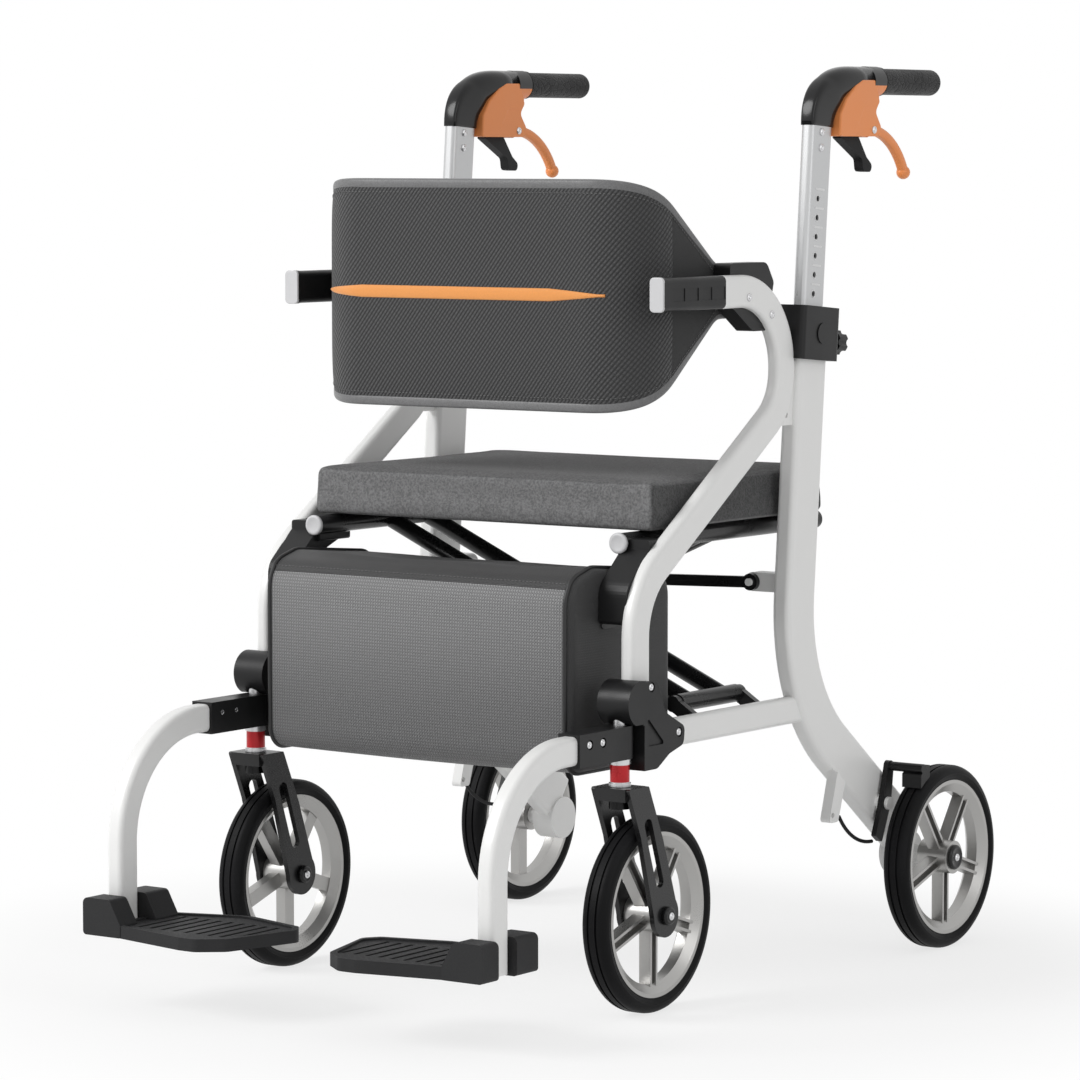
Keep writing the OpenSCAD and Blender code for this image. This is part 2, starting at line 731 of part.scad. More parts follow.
module fork_leg_outline() {
    lobe = 22;
    top = crown_z - crown_t;
    difference() {
        union() {
            translate([front_axle_y, tyre_r]) circle(r = lobe);
            polygon(rounded([[post_y - 18, crown_z, 2], [post_y + 18, crown_z, 2],
                             [front_axle_y - 6, tyre_r + 78, 10], [front_axle_y + lobe, tyre_r, 0],
                             [front_axle_y - lobe, tyre_r, 0], [post_y + 4, top - 38, 10]]));
        }
        translate([front_axle_y, tyre_r]) circle(r = 5);
        // Long slot down the leg
        polygon(rounded([[post_y + 8, top - 20, 6], [post_y + 22, top - 20, 6],
                         [front_axle_y - 3, tyre_r + 30, 6], [front_axle_y - 17, tyre_r + 30, 6]]));
    }
}

module caster_fork() {
    leg_x = fork_gap / 2 + fork_t / 2;
    color(black) difference() {
        union() {
            for (s = [-1, 1]) slab(frame_x + s * leg_x, fork_t) fork_leg_outline();
            translate([frame_x - fork_gap / 2 - 1, post_y - 18, crown_z - crown_t])
                cube([fork_gap + 2, 36, crown_t]);
        }
        rod_z(frame_x, post_y, crown_z - crown_t - 1, crown_z + 1, post_r + run);
    }
}

module front_axle() {
    reach = fork_gap / 2 + fork_t;
    color(silver) {
        rod_x(frame_x - reach - 5, frame_x + reach + 5, front_axle_y, tyre_r, 5 - 0.01);
        for (s = [-1, 1]) rod_x(frame_x + s * (reach + 2.5) - 2.5, frame_x + s * (reach + 2.5) + 2.5,
                                front_axle_y, tyre_r, 8);
    }
}

// Wheel about the X axis at x, with its outer face towards +X
module rim(x, y, bore, hub) {
    half = tyre_w / 2 - 2;
    web = rim_r - 13;
    lip = 4;
    dish = 7;
    translate([x, y, tyre_r]) rotate([0, 90, 0]) difference() {
        union() {
            rotate_extrude($fn = 96) polygon([[web, dish - half], [rim_r - lip, -half], [rim_r, -half], [rim_r, half],
                                              [rim_r - lip, half], [web, half - dish]]);
            translate([0, 0, -hub / 2]) cylinder(h = hub, r = hub_r);
            for (i = [0:spokes - 1]) rotate(i * 360 / spokes) translate([hub_r - 3, 0, 0]) rotate([90, 0, 90])
                linear_extrude(web + 5.5 - hub_r + 3) polygon([[-7.5, -5], [7.5, -5], [6.5, 8], [3.5, 8],
                                                              [3, 0], [-3, 0], [-3.5, 8], [-6.5, 8]]);
        }
        translate([0, 0, -hub / 2 - 1]) cylinder(h = hub + 2, r = bore);
    }
}

module tyre(x, y) {
    half = tyre_w / 2;
    round_r = 9;
    groove = 1.6;
    groove_w = 2.4;
    translate([x, y, tyre_r]) rotate([0, 90, 0]) rotate_extrude($fn = 96) difference() {
        union() {
            translate([rim_r, -half + 2]) square([tyre_r - rim_r - round_r, 2 * half - 4]);
            translate([rim_r, round_r - half]) square([tyre_r - rim_r, 2 * (half - round_r)]);
            for (s = [-1, 1]) translate([tyre_r - round_r, s * (half - round_r)]) circle(r = round_r);
        }
        translate([0, -half - 1]) square([rim_r, 2 * half + 2]);
        for (s = [-1, 1]) translate([tyre_r - groove, s * 4.6 - groove_w / 2]) square([groove + 1, groove_w]);
    }
}

module front_rim() {
    color(silver) rim(frame_x, front_axle_y, 5 + run, fork_gap - 2 * gap);
}

module front_tyre() {
    color(rubber) tyre(frame_x, front_axle_y);
}

module rear_rim() {
    color(silver) rim(rear_wheel_x, rear_axle_y, axle_r + run, hub_w);
}

module rear_tyre() {
    color(rubber) tyre(rear_wheel_x, rear_axle_y);
}

// Rear brake

module brake_arm() {
    x = brake_x + brake_bar_t / 2;
    shoe_in = rear_wheel_x - tyre_w / 2 + 3;
    shoe_out = rear_wheel_x + tyre_w / 2 - 3;
    color(black) {
        difference() {
            union() {
                slab(x, brake_bar_t) {
                    translate(brake_pivot) circle(r = 9);
                    translate(bridge_c) circle(r = 6);
                    polygon(rounded([[brake_tail[0] - 6, brake_tail[1] + 4, 2], [brake_tail[0] + 7, brake_tail[1] - 5, 3],
                                     [brake_pivot[0] + 9, brake_pivot[1], 0], [bridge_c[0] + 6, bridge_c[1], 0],
                                     [bridge_c[0] - 6, bridge_c[1], 0], [brake_pivot[0] - 9, brake_pivot[1], 0]]));
                }
                rod_x(x, shoe_out, bridge_c[0], bridge_c[1], 5);
                intersection() {
                    translate([shoe_in, rear_axle_y, tyre_r]) rotate([0, 90, 0])
                        difference() {
                            cylinder(h = shoe_out - shoe_in, r = shoe_r + 12, $fn = 96);
                            translate([0, 0, -1]) cylinder(h = shoe_out - shoe_in + 2, r = shoe_r, $fn = 96);
                        }
                    translate([shoe_in, bridge_c[0] - 5, bridge_c[1] - 40]) cube([shoe_out - shoe_in, 18, 44]);
                }
            }
            rod_x(x - brake_bar_t, x + brake_bar_t, brake_pivot[0], brake_pivot[1], 4 + run);
        }
    }
}

// Short visible stretch of the brake cable, one arc from its tab to the brake arm's tail
module brake_cable() {
    start = [cable_lug[0] + 14, cable_lug[1] - 1];
    finish = [brake_tail[0] - 7, brake_tail[1] - 2];
    chord = norm(finish - start);
    drop = 9;
    arc_r = (chord * chord / 4 + drop * drop) / (2 * drop);
    half = asin(chord / 2 / arc_r);
    tilt = atan2(finish[1] - start[1], finish[0] - start[0]);
    mid = (start + finish) / 2;
    c = mid + (arc_r - drop) * [-sin(tilt), cos(tilt)];
    color(black) translate([brake_x + brake_bar_t / 4, c[0], c[1]]) rotate([90, 0, 90])
        rotate(270 + tilt - half) rotate_extrude(angle = 2 * half, $fn = 96) translate([arc_r, 0]) circle(r = cable_r, $fn = 24);
}

// Footrest

module foot_hinge() {
    w = 26;
    spigot = 12;
    end_y = post_y - hinge_len;
    color(black) difference() {
        union() {
            rod_z(frame_x, post_y, hinge_low_z, hinge_high_z, w / 2);
            translate([frame_x - w / 2, end_y, hinge_low_z]) cube([w, hinge_len, hinge_high_z - hinge_low_z]);
            translate([frame_x, end_y, rail_z]) rotate([90, 0, 0]) linear_extrude(spigot) rotate([0, 0, 90])
                flat_bar(foot_d - 6, foot_b - 6);
        }
        rod_z(frame_x, post_y, hinge_low_z - 1, hinge_high_z + 1, post_r + run);
        for (y = [18, 41]) rod_x(frame_x + w / 2 - 2, frame_x + w, end_y + y, rail_z + 5, 5);
    }
}

module foot_tube() {
    end_y = post_y - hinge_len;
    drop = rail_z - foot_r - foot_end_z;
    color(white) difference() {
        heading(end_y, rail_z, 180) bent_tube([[13], [90, foot_r], [drop]], foot_d, foot_b);
        translate([frame_x, end_y + 1, rail_z]) rotate([90, 0, 0]) linear_extrude(13) rotate([0, 0, 90])
            flat_bar(foot_d - 6, foot_b - 6);
        rod_y(frame_x, foot_y - foot_d, foot_y + foot_d, plate_axis_z, plate_pin_r + run);
    }
}

module plate_outline(inset) {
    outer = frame_x - plate_pin_rise + 1 - inset;
    inner = frame_x - plate_reach + inset;
    rear = post_y - 157 - inset;
    front = plate_front_y + inset;
    polygon(rounded([[outer, front + 22, 2], [inner + 70, front, 14], [inner + 50, front, 14],
                     [inner + 24, front + 20, 14],
                     [inner, rear - 16, 12], [inner + 12, rear, 8], [inner + 92, rear + 22, 40], [outer, rear - 7, 2]]));
}

module footplate() {
    rim_t = 5;
    ear_in = frame_x - plate_pin_rise - 16;
    ear_out = frame_x + 18;
    front_ear = [plate_front_y + 18, foot_y - foot_d / 2 - gap];
    rear_ear = [foot_y + foot_d / 2 + gap, post_y - 167];
    color(black) {
        difference() {
            translate([0, 0, plate_z - plate_t]) linear_extrude(plate_t) plate_outline(0);
            translate([0, 0, plate_z - 2]) linear_extrude(3) plate_outline(rim_t);
            // Grooves across the tread
            for (i = [1:9]) translate([frame_x - plate_reach + 12 + i * 15, plate_front_y + 34, plate_z - 3.2])
                cube([5, 76, 2]);
        }
        for (e = [front_ear, rear_ear]) translate([0, e[0], 0]) rotate([90, 0, 0]) mirror([0, 0, 1])
            linear_extrude(e[1] - e[0]) polygon(rounded([[ear_in, plate_z - plate_t, 2], [ear_out, plate_z - plate_t, 4],
                [ear_out, plate_axis_z + ear_r - 4, 6], [ear_in + 14, plate_axis_z + ear_r - 4, 6],
                [ear_in, plate_z, 2]]));
        rod_y(frame_x, front_ear[0] + 4, rear_ear[1] - 4, plate_axis_z, plate_pin_r);
    }
}

// Seat support and folding cross

// Cradle for the seat rail, bolted to the front tube and reaching down to the bag
module seat_saddle() {
    face = frame_x - arm_b / 2;
    front = seat_rail_front + 5;
    rear = front + 52;
    lip = seat_rail_r + gap;
    foot_z = 394;
    color(black) difference() {
        union() {
            translate([0, (front + rear) / 2, 0]) rotate([90, 0, 0]) linear_extrude(rear - front, center = true)
                difference() {
                    polygon(rounded([[brace_x - 4, brace_top_z - lip - 7, 3], [face + 4, brace_top_z - lip - 7, 3],
                                     [face + 4, brace_top_z + 4, 3], [brace_x - 4, brace_top_z + 4, 1]]));
                    translate([brace_x, brace_top_z]) circle(r = lip);
                    translate([brace_x - lip, brace_top_z]) square([2 * lip, 20]);
                }
            slab((bag_w / 2 + gap + face + 4) / 2, face + 4 - bag_w / 2 - gap)
                polygon(rounded([[leg_y - 10, foot_z, 5], [leg_y + 14, foot_z, 5], [leg_y + 28, foot_z + 46, 14],
                                 [rear - 4, brace_top_z - lip - 3, 4], [rear - 6, brace_top_z - 4, 2],
                                 [front + 2, brace_top_z - 4, 3], [leg_y - 10, foot_z + 38, 22]]));
        }
        arm_shape();
        translate([brace_x, seat_rail_front - 10, brace_top_z]) rotate([-90, 0, 0])
            cylinder(h = rear - front + 40, r = lip);
    }
}

// One brace: two parallel tubes from a pivot sleeve low at +X to a seat rail high at -X
module brace(offsets, bolt_r, link_to) {
    difference() {
        union() {
            for (y = offsets) translate([brace_x, y, brace_low_z]) rotate([0, brace_deg - 90, 0])
                cylinder(h = brace_len, r = brace_r);
            rod_y(brace_x, brace_y - pivot_half + gap, brace_y + pivot_half - gap, brace_low_z, pivot_sleeve_r);
            rod_y(-brace_x, seat_rail_front, seat_rail_rear, brace_top_z, seat_rail_r);
            rod_y(-link_end[0], max(offsets), link_to, link_end[1], 4);
        }
        rod_y(brace_x, brace_y - pivot_half - 1, brace_y + pivot_half + 1, brace_low_z, pivot_rod_r + run);
        rod_y(0, brace_y - 3 * brace_pitch, brace_y + 3 * brace_pitch, brace_mid_z, bolt_r);
    }
}

link_face = link_y - link_t / 2 - gap;
module brace_left() {
    color(black) brace([brace_y - 1.5 * brace_pitch, brace_y + 1.5 * brace_pitch], brace_bolt_r, link_face);
}

module brace_right() {
    color(black) mirror([1, 0, 0])
        brace([brace_y - brace_pitch / 2, brace_y + brace_pitch / 2], brace_bolt_r + run, link_face);
}

module brace_bolt() {
    head = 1.5 * brace_pitch + brace_r;
    washer = brace_pitch - 2 * brace_r - 2 * gap;
    color(silver) {
        rod_y(0, brace_y - head - 4, brace_y + head + 4, brace_mid_z, brace_bolt_r - 0.01);
        for (s = [-1, 1]) {
            rod_y(0, brace_y + s * (head + 3) - 3, brace_y + s * (head + 3) + 3, brace_mid_z, 8);
            rod_y(0, brace_y + s * brace_pitch - washer / 2, brace_y + s * brace_pitch + washer / 2, brace_mid_z, 7);
        }
    }
}

module link_arm() {
    color(black) translate([0, link_y, 0]) rotate([90, 0, 0]) linear_extrude(link_t, center = true)
        translate([link_pivot_x, link_pivot_z]) rotate(link_tilt) difference() {
            union() {
                translate([-link_len, -6]) square([link_len, 12]);
                for (x = [0, -link_len]) translate([x, 0]) circle(r = 9);
            }
            circle(r = 4 + run);
            translate([-link_len, 0]) circle(r = 4.5);
        }
}

// Soft parts

seat_low = brace_top_z + seat_rail_r + gap;
// A closed cushion on a grid: n cells each way, top crowned, sides bowed in and edges rounded
seat_n = 16;
function soft(t) = sign(t) * pow(abs(t), 0.8);
function seat_xy(i, j) =
    let (u = soft(2 * i / seat_n - 1), v = soft(2 * j / seat_n - 1),
         du = seat_draw * (1 - v * v) * pow(abs(u), 6), dv = seat_draw * (1 - u * u) * pow(abs(v), 6))
    [u * seat_w / 2 - sign(u) * du, (seat_front + seat_rear) / 2 + v * (seat_rear - seat_front) / 2 - sign(v) * dv];
function edge_fall(i, j) =
    let (e = min(i, j, seat_n - i, seat_n - j)) e == 0 ? 4 : e == 1 ? 0.8 : 0;
function seat_top(i, j) =
    let (u = 2 * i / seat_n - 1, v = 2 * j / seat_n - 1)
    seat_low + seat_t + seat_crown * (1 - pow(u, 4)) * (1 - pow(v, 4)) - edge_fall(i, j);
function seat_bottom(i, j) = seat_low + (min(i, j, seat_n - i, seat_n - j) == 0 ? 3 : 0);

module seat_cushion() {
    m = seat_n + 1;
    top = [for (j = [0:seat_n], i = [0:seat_n]) concat(seat_xy(i, j), seat_top(i, j))];
    low = [for (j = [0:seat_n], i = [0:seat_n]) concat(seat_xy(i, j), seat_bottom(i, j))];
    base = m * m;
    upper = [for (j = [0:seat_n - 1], i = [0:seat_n - 1]) let (a = j * m + i)
        each [[a, a + m, a + m + 1], [a, a + m + 1, a + 1]]];
    under = [for (f = upper) [f[2] + base, f[1] + base, f[0] + base]];
    loop = concat([for (i = [0:seat_n]) i], [for (j = [1:seat_n]) j * m + seat_n],
                  [for (i = [seat_n - 1:-1:0]) seat_n * m + i], [for (j = [seat_n - 1:-1:1]) j * m]);
    walls = [for (k = [0:len(loop) - 1]) let (a = loop[k], b = loop[(k + 1) % len(loop)])
        each [[a, b, b + base], [a, b + base, a + base]]];
    color(charcoal) polyhedron(points = concat(top, low), faces = concat(upper, under, walls), convexity = 4);
}

module band_plan(inset) {
    half = band_side_x - gap - inset;
    polygon(rounded([[-half, band_pivot_y + 26, 0], [-half, band_front + inset, band_r - inset],
                     [half, band_front + inset, band_r - inset], [half, band_pivot_y + 26, 0]]));
}

module back_band() {
    low = band_z - band_h / 2;
    high = band_z + band_h / 2;
    eye = band_side_x - gap;
    taper_y = band_front + 14;
    taper_r = 50;
    color(charcoal) difference() {
        union() {
            intersection() {
                translate([0, 0, low]) linear_extrude(band_h) difference() {
                    band_plan(0);
                    translate([0, 1, 0]) band_plan(band_t);
                }
                slab(0, 2 * frame_x) polygon(rounded([
                    [band_front - 5, high, 0], [taper_y, high, taper_r],
                    [band_pivot_y + 20, band_pivot_z + tab_h / 2, 16],
                    [band_pivot_y + 20, band_pivot_z - tab_h / 2, 16],
                    [taper_y, low, taper_r], [band_front - 5, low, 0]]));
            }
        }
        for (s = [-1, 1]) rod_x(s * eye - band_t - 2, s * eye + band_t + 2, band_pivot_y, band_pivot_z, band_pin_r + gap);
    }
}

// Storage bag: a soft box with a rolled top front edge
module storage_bag() {
    color(charcoal) slab(0, bag_w) polygon(rounded([[bag_front, bag_low, 14], [bag_rear, bag_low, 14],
        [bag_rear, bag_top - 12, 26], [bag_front + 44, bag_top, 30], [bag_front, bag_top - 14, 16]]));
}

left("upright") upright();
left("arm_tube") arm_tube();
left("arm_pad") arm_pad();
left("band_bracket") band_bracket();
left("height_clamp") height_clamp();
left("clamp_knob") clamp_knob();
left("front_bracket") front_bracket();
left("stem_post") stem_post();
left("seat_saddle") seat_saddle();
left("handle_tube") handle_tube();
left("handle_elbow") handle_elbow();
left("hand_grip") hand_grip();
left("brake_housing") brake_housing();
left("cable_boot") cable_boot();
left("brake_lever") brake_lever();
left("caster_fork") caster_fork();
left("front_axle") front_axle();
left("front_rim") front_rim();
left("front_tyre") front_tyre();
left("rear_rim") rear_rim();
left("rear_tyre") rear_tyre();
left("brake_arm") brake_arm();
left("brake_cable") brake_cable();
left("foot_hinge") foot_hinge();
left("foot_tube") foot_tube();
left("footplate") footplate();
left("link_arm") link_arm();
right("upright") upright();
right("arm_tube") arm_tube();
right("arm_pad") arm_pad();
right("band_bracket") band_bracket();
right("height_clamp") height_clamp();
right("clamp_knob") clamp_knob();
right("front_bracket") front_bracket();
right("stem_post") stem_post();
right("seat_saddle") seat_saddle();
right("handle_tube") handle_tube();
right("handle_elbow") handle_elbow();
right("hand_grip") hand_grip();
right("brake_housing") brake_housing();
right("cable_boot") cable_boot();
right("brake_lever") brake_lever();
right("caster_fork") caster_fork();
right("front_axle") front_axle();
right("front_rim") front_rim();
right("front_tyre") front_tyre();
right("rear_rim") rear_rim();
right("rear_tyre") rear_tyre();
right("brake_arm") brake_arm();
right("brake_cable") brake_cable();
right("foot_hinge") foot_hinge();
right("foot_tube") foot_tube();
right("footplate") footplate();
right("link_arm") link_arm();
middle("brace_left") brace_left();
middle("brace_right") brace_right();
middle("brace_bolt") brace_bolt();
middle("seat_cushion") seat_cushion();
middle("back_band") back_band();
middle("storage_bag") storage_bag();
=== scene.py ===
"""Looks of the rollator transport chair: finishes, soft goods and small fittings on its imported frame."""

import math

import bmesh
import bpy
import numpy as np
from mathutils import Matrix, Vector


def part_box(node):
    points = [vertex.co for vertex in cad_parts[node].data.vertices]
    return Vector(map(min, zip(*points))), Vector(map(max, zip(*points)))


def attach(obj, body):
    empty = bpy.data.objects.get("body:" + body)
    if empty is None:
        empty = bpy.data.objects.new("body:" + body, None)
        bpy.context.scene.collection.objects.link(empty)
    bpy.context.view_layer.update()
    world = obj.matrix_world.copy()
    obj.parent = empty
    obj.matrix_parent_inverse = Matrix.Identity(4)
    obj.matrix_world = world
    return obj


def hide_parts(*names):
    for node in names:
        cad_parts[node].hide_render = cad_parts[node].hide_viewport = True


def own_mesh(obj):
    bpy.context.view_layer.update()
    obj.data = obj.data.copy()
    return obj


bl_info = {
    "name": "Rollator transport chair",
    "version": (1, 0, 0),
    "blender": (4, 5, 0),
    "location": "3D View > Sidebar > Chair",
    "description": "Dresses the packed chair with finishes, soft goods and small fittings",
    "category": "Object",
}

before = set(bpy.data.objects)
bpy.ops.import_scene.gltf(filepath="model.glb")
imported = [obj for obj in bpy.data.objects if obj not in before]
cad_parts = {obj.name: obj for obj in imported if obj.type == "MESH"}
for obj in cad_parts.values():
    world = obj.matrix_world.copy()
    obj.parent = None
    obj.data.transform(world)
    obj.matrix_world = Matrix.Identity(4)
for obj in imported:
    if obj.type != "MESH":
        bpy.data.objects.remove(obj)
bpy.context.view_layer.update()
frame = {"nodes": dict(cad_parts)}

MM = 0.001
SIDES = (("left", 1), ("right", -1))
# The middle of the wheelbase lies this far behind the middle of the chair
MID_Y = 113.5 * MM
FRAME_X = 232 * MM
UP = Vector((0, 0, 1))


# Shared shapes


def place(side, x, y, z):
    """A point of the left side, in millimetres from the middle of the wheelbase, or its mirror image."""
    return Vector((side * x * MM, y * MM + MID_Y, z * MM))


def rounded(corners, steps=8):
    """Outline through corners (x, y, radius), each turned on an arc."""
    out = []
    count = len(corners)
    for i, (x, y, radius) in enumerate(corners):
        point = Vector((x, y))
        if radius <= 0:
            out.append(point)
            continue
        before = (Vector(corners[i - 1][:2]) - point).normalized()
        after = (Vector(corners[(i + 1) % count][:2]) - point).normalized()
        half = before.angle(after) / 2
        centre = point + (before + after).normalized() * (radius / math.sin(half))
        start = point + before * (radius / math.tan(half)) - centre
        end = point + after * (radius / math.tan(half)) - centre
        first = math.atan2(start.y, start.x)
        turn = math.atan2(end.y, end.x) - first
        turn = (turn + math.pi) % (2 * math.pi) - math.pi
        for k in range(steps + 1):
            angle = first + turn * k / steps
            out.append(centre + radius * Vector((math.cos(angle), math.sin(angle))))
    return out


def rounded_box(half_wide, half_tall, corner, steps=8):
    """Outline of a rectangle about the origin with round corners."""
    return rounded([(-half_wide, -half_tall, corner), (half_wide, -half_tall, corner),
                    (half_wide, half_tall, corner), (-half_wide, half_tall, corner)], steps)


def bowed(value, power):
    """A sine or cosine raised to a power with its sign kept, for a round that grows flat sides."""
    return math.copysign(abs(value) ** power, value)


def resampled(points, step, closed=False):
    """The same line with points an even step apart."""
    line = np.array([tuple(p) for p in points], float)
    if closed:
        line = np.vstack([line, line[:1]])
    along = np.concatenate([[0], np.cumsum(np.linalg.norm(np.diff(line, axis=0), axis=1))])
    count = max(2, int(round(along[-1] / step)) + 1)
    marks = np.linspace(0, along[-1], count)
    even = np.stack([np.interp(marks, along, line[:, k]) for k in range(line.shape[1])], axis=1)
    return even[:-1] if closed else even


def tangents(line, closed=False):
    """Unit direction of travel at each point of a line."""
    if closed:
        steps = np.roll(line, -1, axis=0) - np.roll(line, 1, axis=0)
    else:
        steps = np.gradient(line, axis=0)
    return steps / np.linalg.norm(steps, axis=1, keepdims=True)


def add_object(name, mesh):
    """Links a mesh to the scene as an object at the origin."""
    piece = bpy.data.objects.new(name, mesh)
    bpy.context.scene.collection.objects.link(piece)
    return piece


def mesh_from(work, name):
    """Ends an edit: its result as a new mesh."""
    mesh = bpy.data.meshes.new(name)
    work.to_mesh(mesh)
    work.free()
    return mesh


def evaluated_mesh(piece):
    """The mesh of an object with its modifiers applied."""
    graph = bpy.context.evaluated_depsgraph_get()
    return bpy.data.meshes.new_from_object(piece.evaluated_get(graph))


def mesh_of(name, points, faces, smooth=True):
    """A mesh from points and faces, doubles merged and faces turned outwards."""
    mesh = bpy.data.meshes.new(name)
    mesh.from_pydata([tuple(p) for p in points], [], faces)
    work = bmesh.new()
    work.from_mesh(mesh)
    bmesh.ops.remove_doubles(work, verts=work.verts, dist=1e-6)
    bmesh.ops.recalc_face_normals(work, faces=work.faces)
    for face in work.faces:
        face.smooth = smooth
    work.to_mesh(mesh)
    work.free()
    return mesh


def grid_faces(rows, columns, start=0, wrap_rows=False, wrap_columns=False):
    """Four-sided faces of a grid of points stored row by row."""
    faces = []
    for i in range(rows if wrap_rows else rows - 1):
        for j in range(columns if wrap_columns else columns - 1):
            a = start + i * columns + j
            b = start + i * columns + (j + 1) % columns
            c = start + ((i + 1) % rows) * columns + (j + 1) % columns
            d = start + ((i + 1) % rows) * columns + j
            faces.append((a, b, c, d))
    return faces


def slab_faces(rows, columns):
    """Faces of two equal grids, one stored after the other, and of the rim that joins them."""
    other = rows * columns
    rim = [i * columns for i in range(rows)]
    rim += [(rows - 1) * columns + j for j in range(1, columns)]
    rim += [i * columns + columns - 1 for i in range(rows - 2, -1, -1)]
    rim += list(range(columns - 2, 0, -1))
    faces = grid_faces(rows, columns) + grid_faces(rows, columns, other)
    return faces + [(a, b, b + other, a + other) for a, b in zip(rim, rim[1:] + rim[:1])]


def lathe(name, profile, base, axis, segments=40):
    """A turned piece: profile of (height, radius) along an axis from a base point."""
    axis = Vector(axis).normalized()
    across = axis.orthogonal().normalized()
    third = axis.cross(across)
    points = []
    for height, radius in profile:
        for k in range(segments):
            angle = 2 * math.pi * k / segments
            spoke = across * math.cos(angle) + third * math.sin(angle)
            points.append(Vector(base) + axis * height + spoke * max(radius, 1e-7))
    return mesh_of(name, points, grid_faces(len(profile), segments, wrap_columns=True))


def plate(name, outline, base, across, up, depth, bevel, both=False):
    """A flat plate with softened edges: a 2D outline in the plane of two directions, raised by depth."""
    normal = Vector(across).cross(Vector(up)).normalized()
    centre = sum((Vector(p) for p in outline), Vector((0, 0))) / len(outline)
    points = []
    rise = [(depth - bevel, 0.0), (depth - bevel * 0.3, bevel * 0.3), (depth, bevel)]
    levels = ([(-height, inset) for height, inset in reversed(rise)] if both else [(0.0, 0.0)]) + rise
    for height, inset in levels:
        for p in outline:
            inward = (centre - Vector(p)).normalized() * inset
            flat = Vector(p) + inward
            points.append(Vector(base) + Vector(across) * flat.x + Vector(up) * flat.y + normal * height)
    count = len(outline)
    faces = grid_faces(len(levels), count, wrap_columns=True)
    faces.append(tuple(range(count)))
    faces.append(tuple(range((len(levels) - 1) * count, len(levels) * count)))
    return mesh_of(name, points, faces, smooth=False)


def dress(piece, material, body):
    """Gives a finished piece its material and its body."""
    if material is not None:
        piece.data.materials.clear()
        piece.data.materials.append(material)
    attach(piece, body)
    return piece


def settle(piece):
    """Gives a soft piece a mesh of its own."""
    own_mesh(piece)
    return piece


# Shader building


def find_node(tree, kind):
    """The first node of a kind in a tree."""
    return next(node for node in tree.nodes if node.type == kind)


class Bench:
    """Adds and links the nodes of one shader tree."""

    def __init__(self, tree):
        self.tree = tree

    def add(self, kind, **settings):
        node = self.tree.nodes.new(kind)
        for key, value in settings.items():
            setattr(node, key, value)
        return node

    def feed(self, socket, value):
        if isinstance(value, bpy.types.NodeSocket):
            self.tree.links.new(value, socket)
        else:
            socket.default_value = value

    def sum(self, operation, *values):
        node = self.add("ShaderNodeMath", operation=operation)
        for socket, value in zip(node.inputs, values):
            self.feed(socket, value)
        return node.outputs[0]

    def wave(self, value, rate):
        """Row of equal humps: the size of the sine of a value times a rate."""
        return self.sum("ABSOLUTE", self.sum("SINE", self.sum("MULTIPLY", value, rate)))

    def blend(self, share, first, second):
        node = self.add("ShaderNodeMix", data_type="RGBA")
        self.feed(node.inputs[0], share)
        self.feed(node.inputs[6], first)
        self.feed(node.inputs[7], second)
        return node.outputs[2]

    def ramp(self, value, low, high, to_low=0.0, to_high=1.0, smooth=True):
        node = self.add("ShaderNodeMapRange")
        node.interpolation_type = "SMOOTHSTEP" if smooth else "LINEAR"
        for socket, item in zip(node.inputs, (value, low, high, to_low, to_high)):
            self.feed(socket, item)
        return node.outputs[0]

    def noise(self, vector, scale, detail=2.0, rough=0.5):
        node = self.add("ShaderNodeTexNoise")
        self.feed(node.inputs["Vector"], vector)
        self.feed(node.inputs["Scale"], scale)
        node.inputs["Detail"].default_value = detail
        node.inputs["Roughness"].default_value = rough
        return node.outputs[0]

    def moved(self, vector, location=(0, 0, 0), rotation=(0, 0, 0), scale=(1, 1, 1)):
        node = self.add("ShaderNodeMapping")
        self.feed(node.inputs["Vector"], vector)
        node.inputs["Location"].default_value = location
        node.inputs["Rotation"].default_value = rotation
        node.inputs["Scale"].default_value = scale
        return node.outputs[0]

    def turned(self, vector, angle):
        node = self.add("ShaderNodeVectorRotate", rotation_type="Z_AXIS")
        self.feed(node.inputs["Vector"], vector)
        self.feed(node.inputs["Angle"], angle)
        return node.outputs[0]

    def split(self, vector):
        node = self.add("ShaderNodeSeparateXYZ")
        self.feed(node.inputs[0], vector)
        return node.outputs

    def group(self, name, **values):
        node = self.add("ShaderNodeGroup", node_tree=bpy.data.node_groups[name])
        for key, value in values.items():
            self.feed(node.inputs[key.replace("_", " ").capitalize()], value)
        return node.outputs

    def bump(self, height, strength, distance):
        node = self.add("ShaderNodeBump")
        node.inputs["Strength"].default_value = strength
        node.inputs["Distance"].default_value = distance
        self.feed(node.inputs["Height"], height)
        return node.outputs[0]


def shader_group(name, inputs, outputs):
    """A new shader node group with named sockets; returns its bench, its inputs and its outputs."""
    tree = bpy.data.node_groups.new(name, "ShaderNodeTree")
    for label, kind in inputs:
        tree.interface.new_socket(label, in_out="INPUT", socket_type=kind)
    for label in outputs:
        tree.interface.new_socket(label, in_out="OUTPUT", socket_type="NodeSocketFloat")
    bench = Bench(tree)
    source = bench.add("NodeGroupInput")
    sink = bench.add("NodeGroupOutput")
    return bench, source.outputs, sink.inputs


VALUE = "NodeSocketFloat"
VECTOR = "NodeSocketVector"


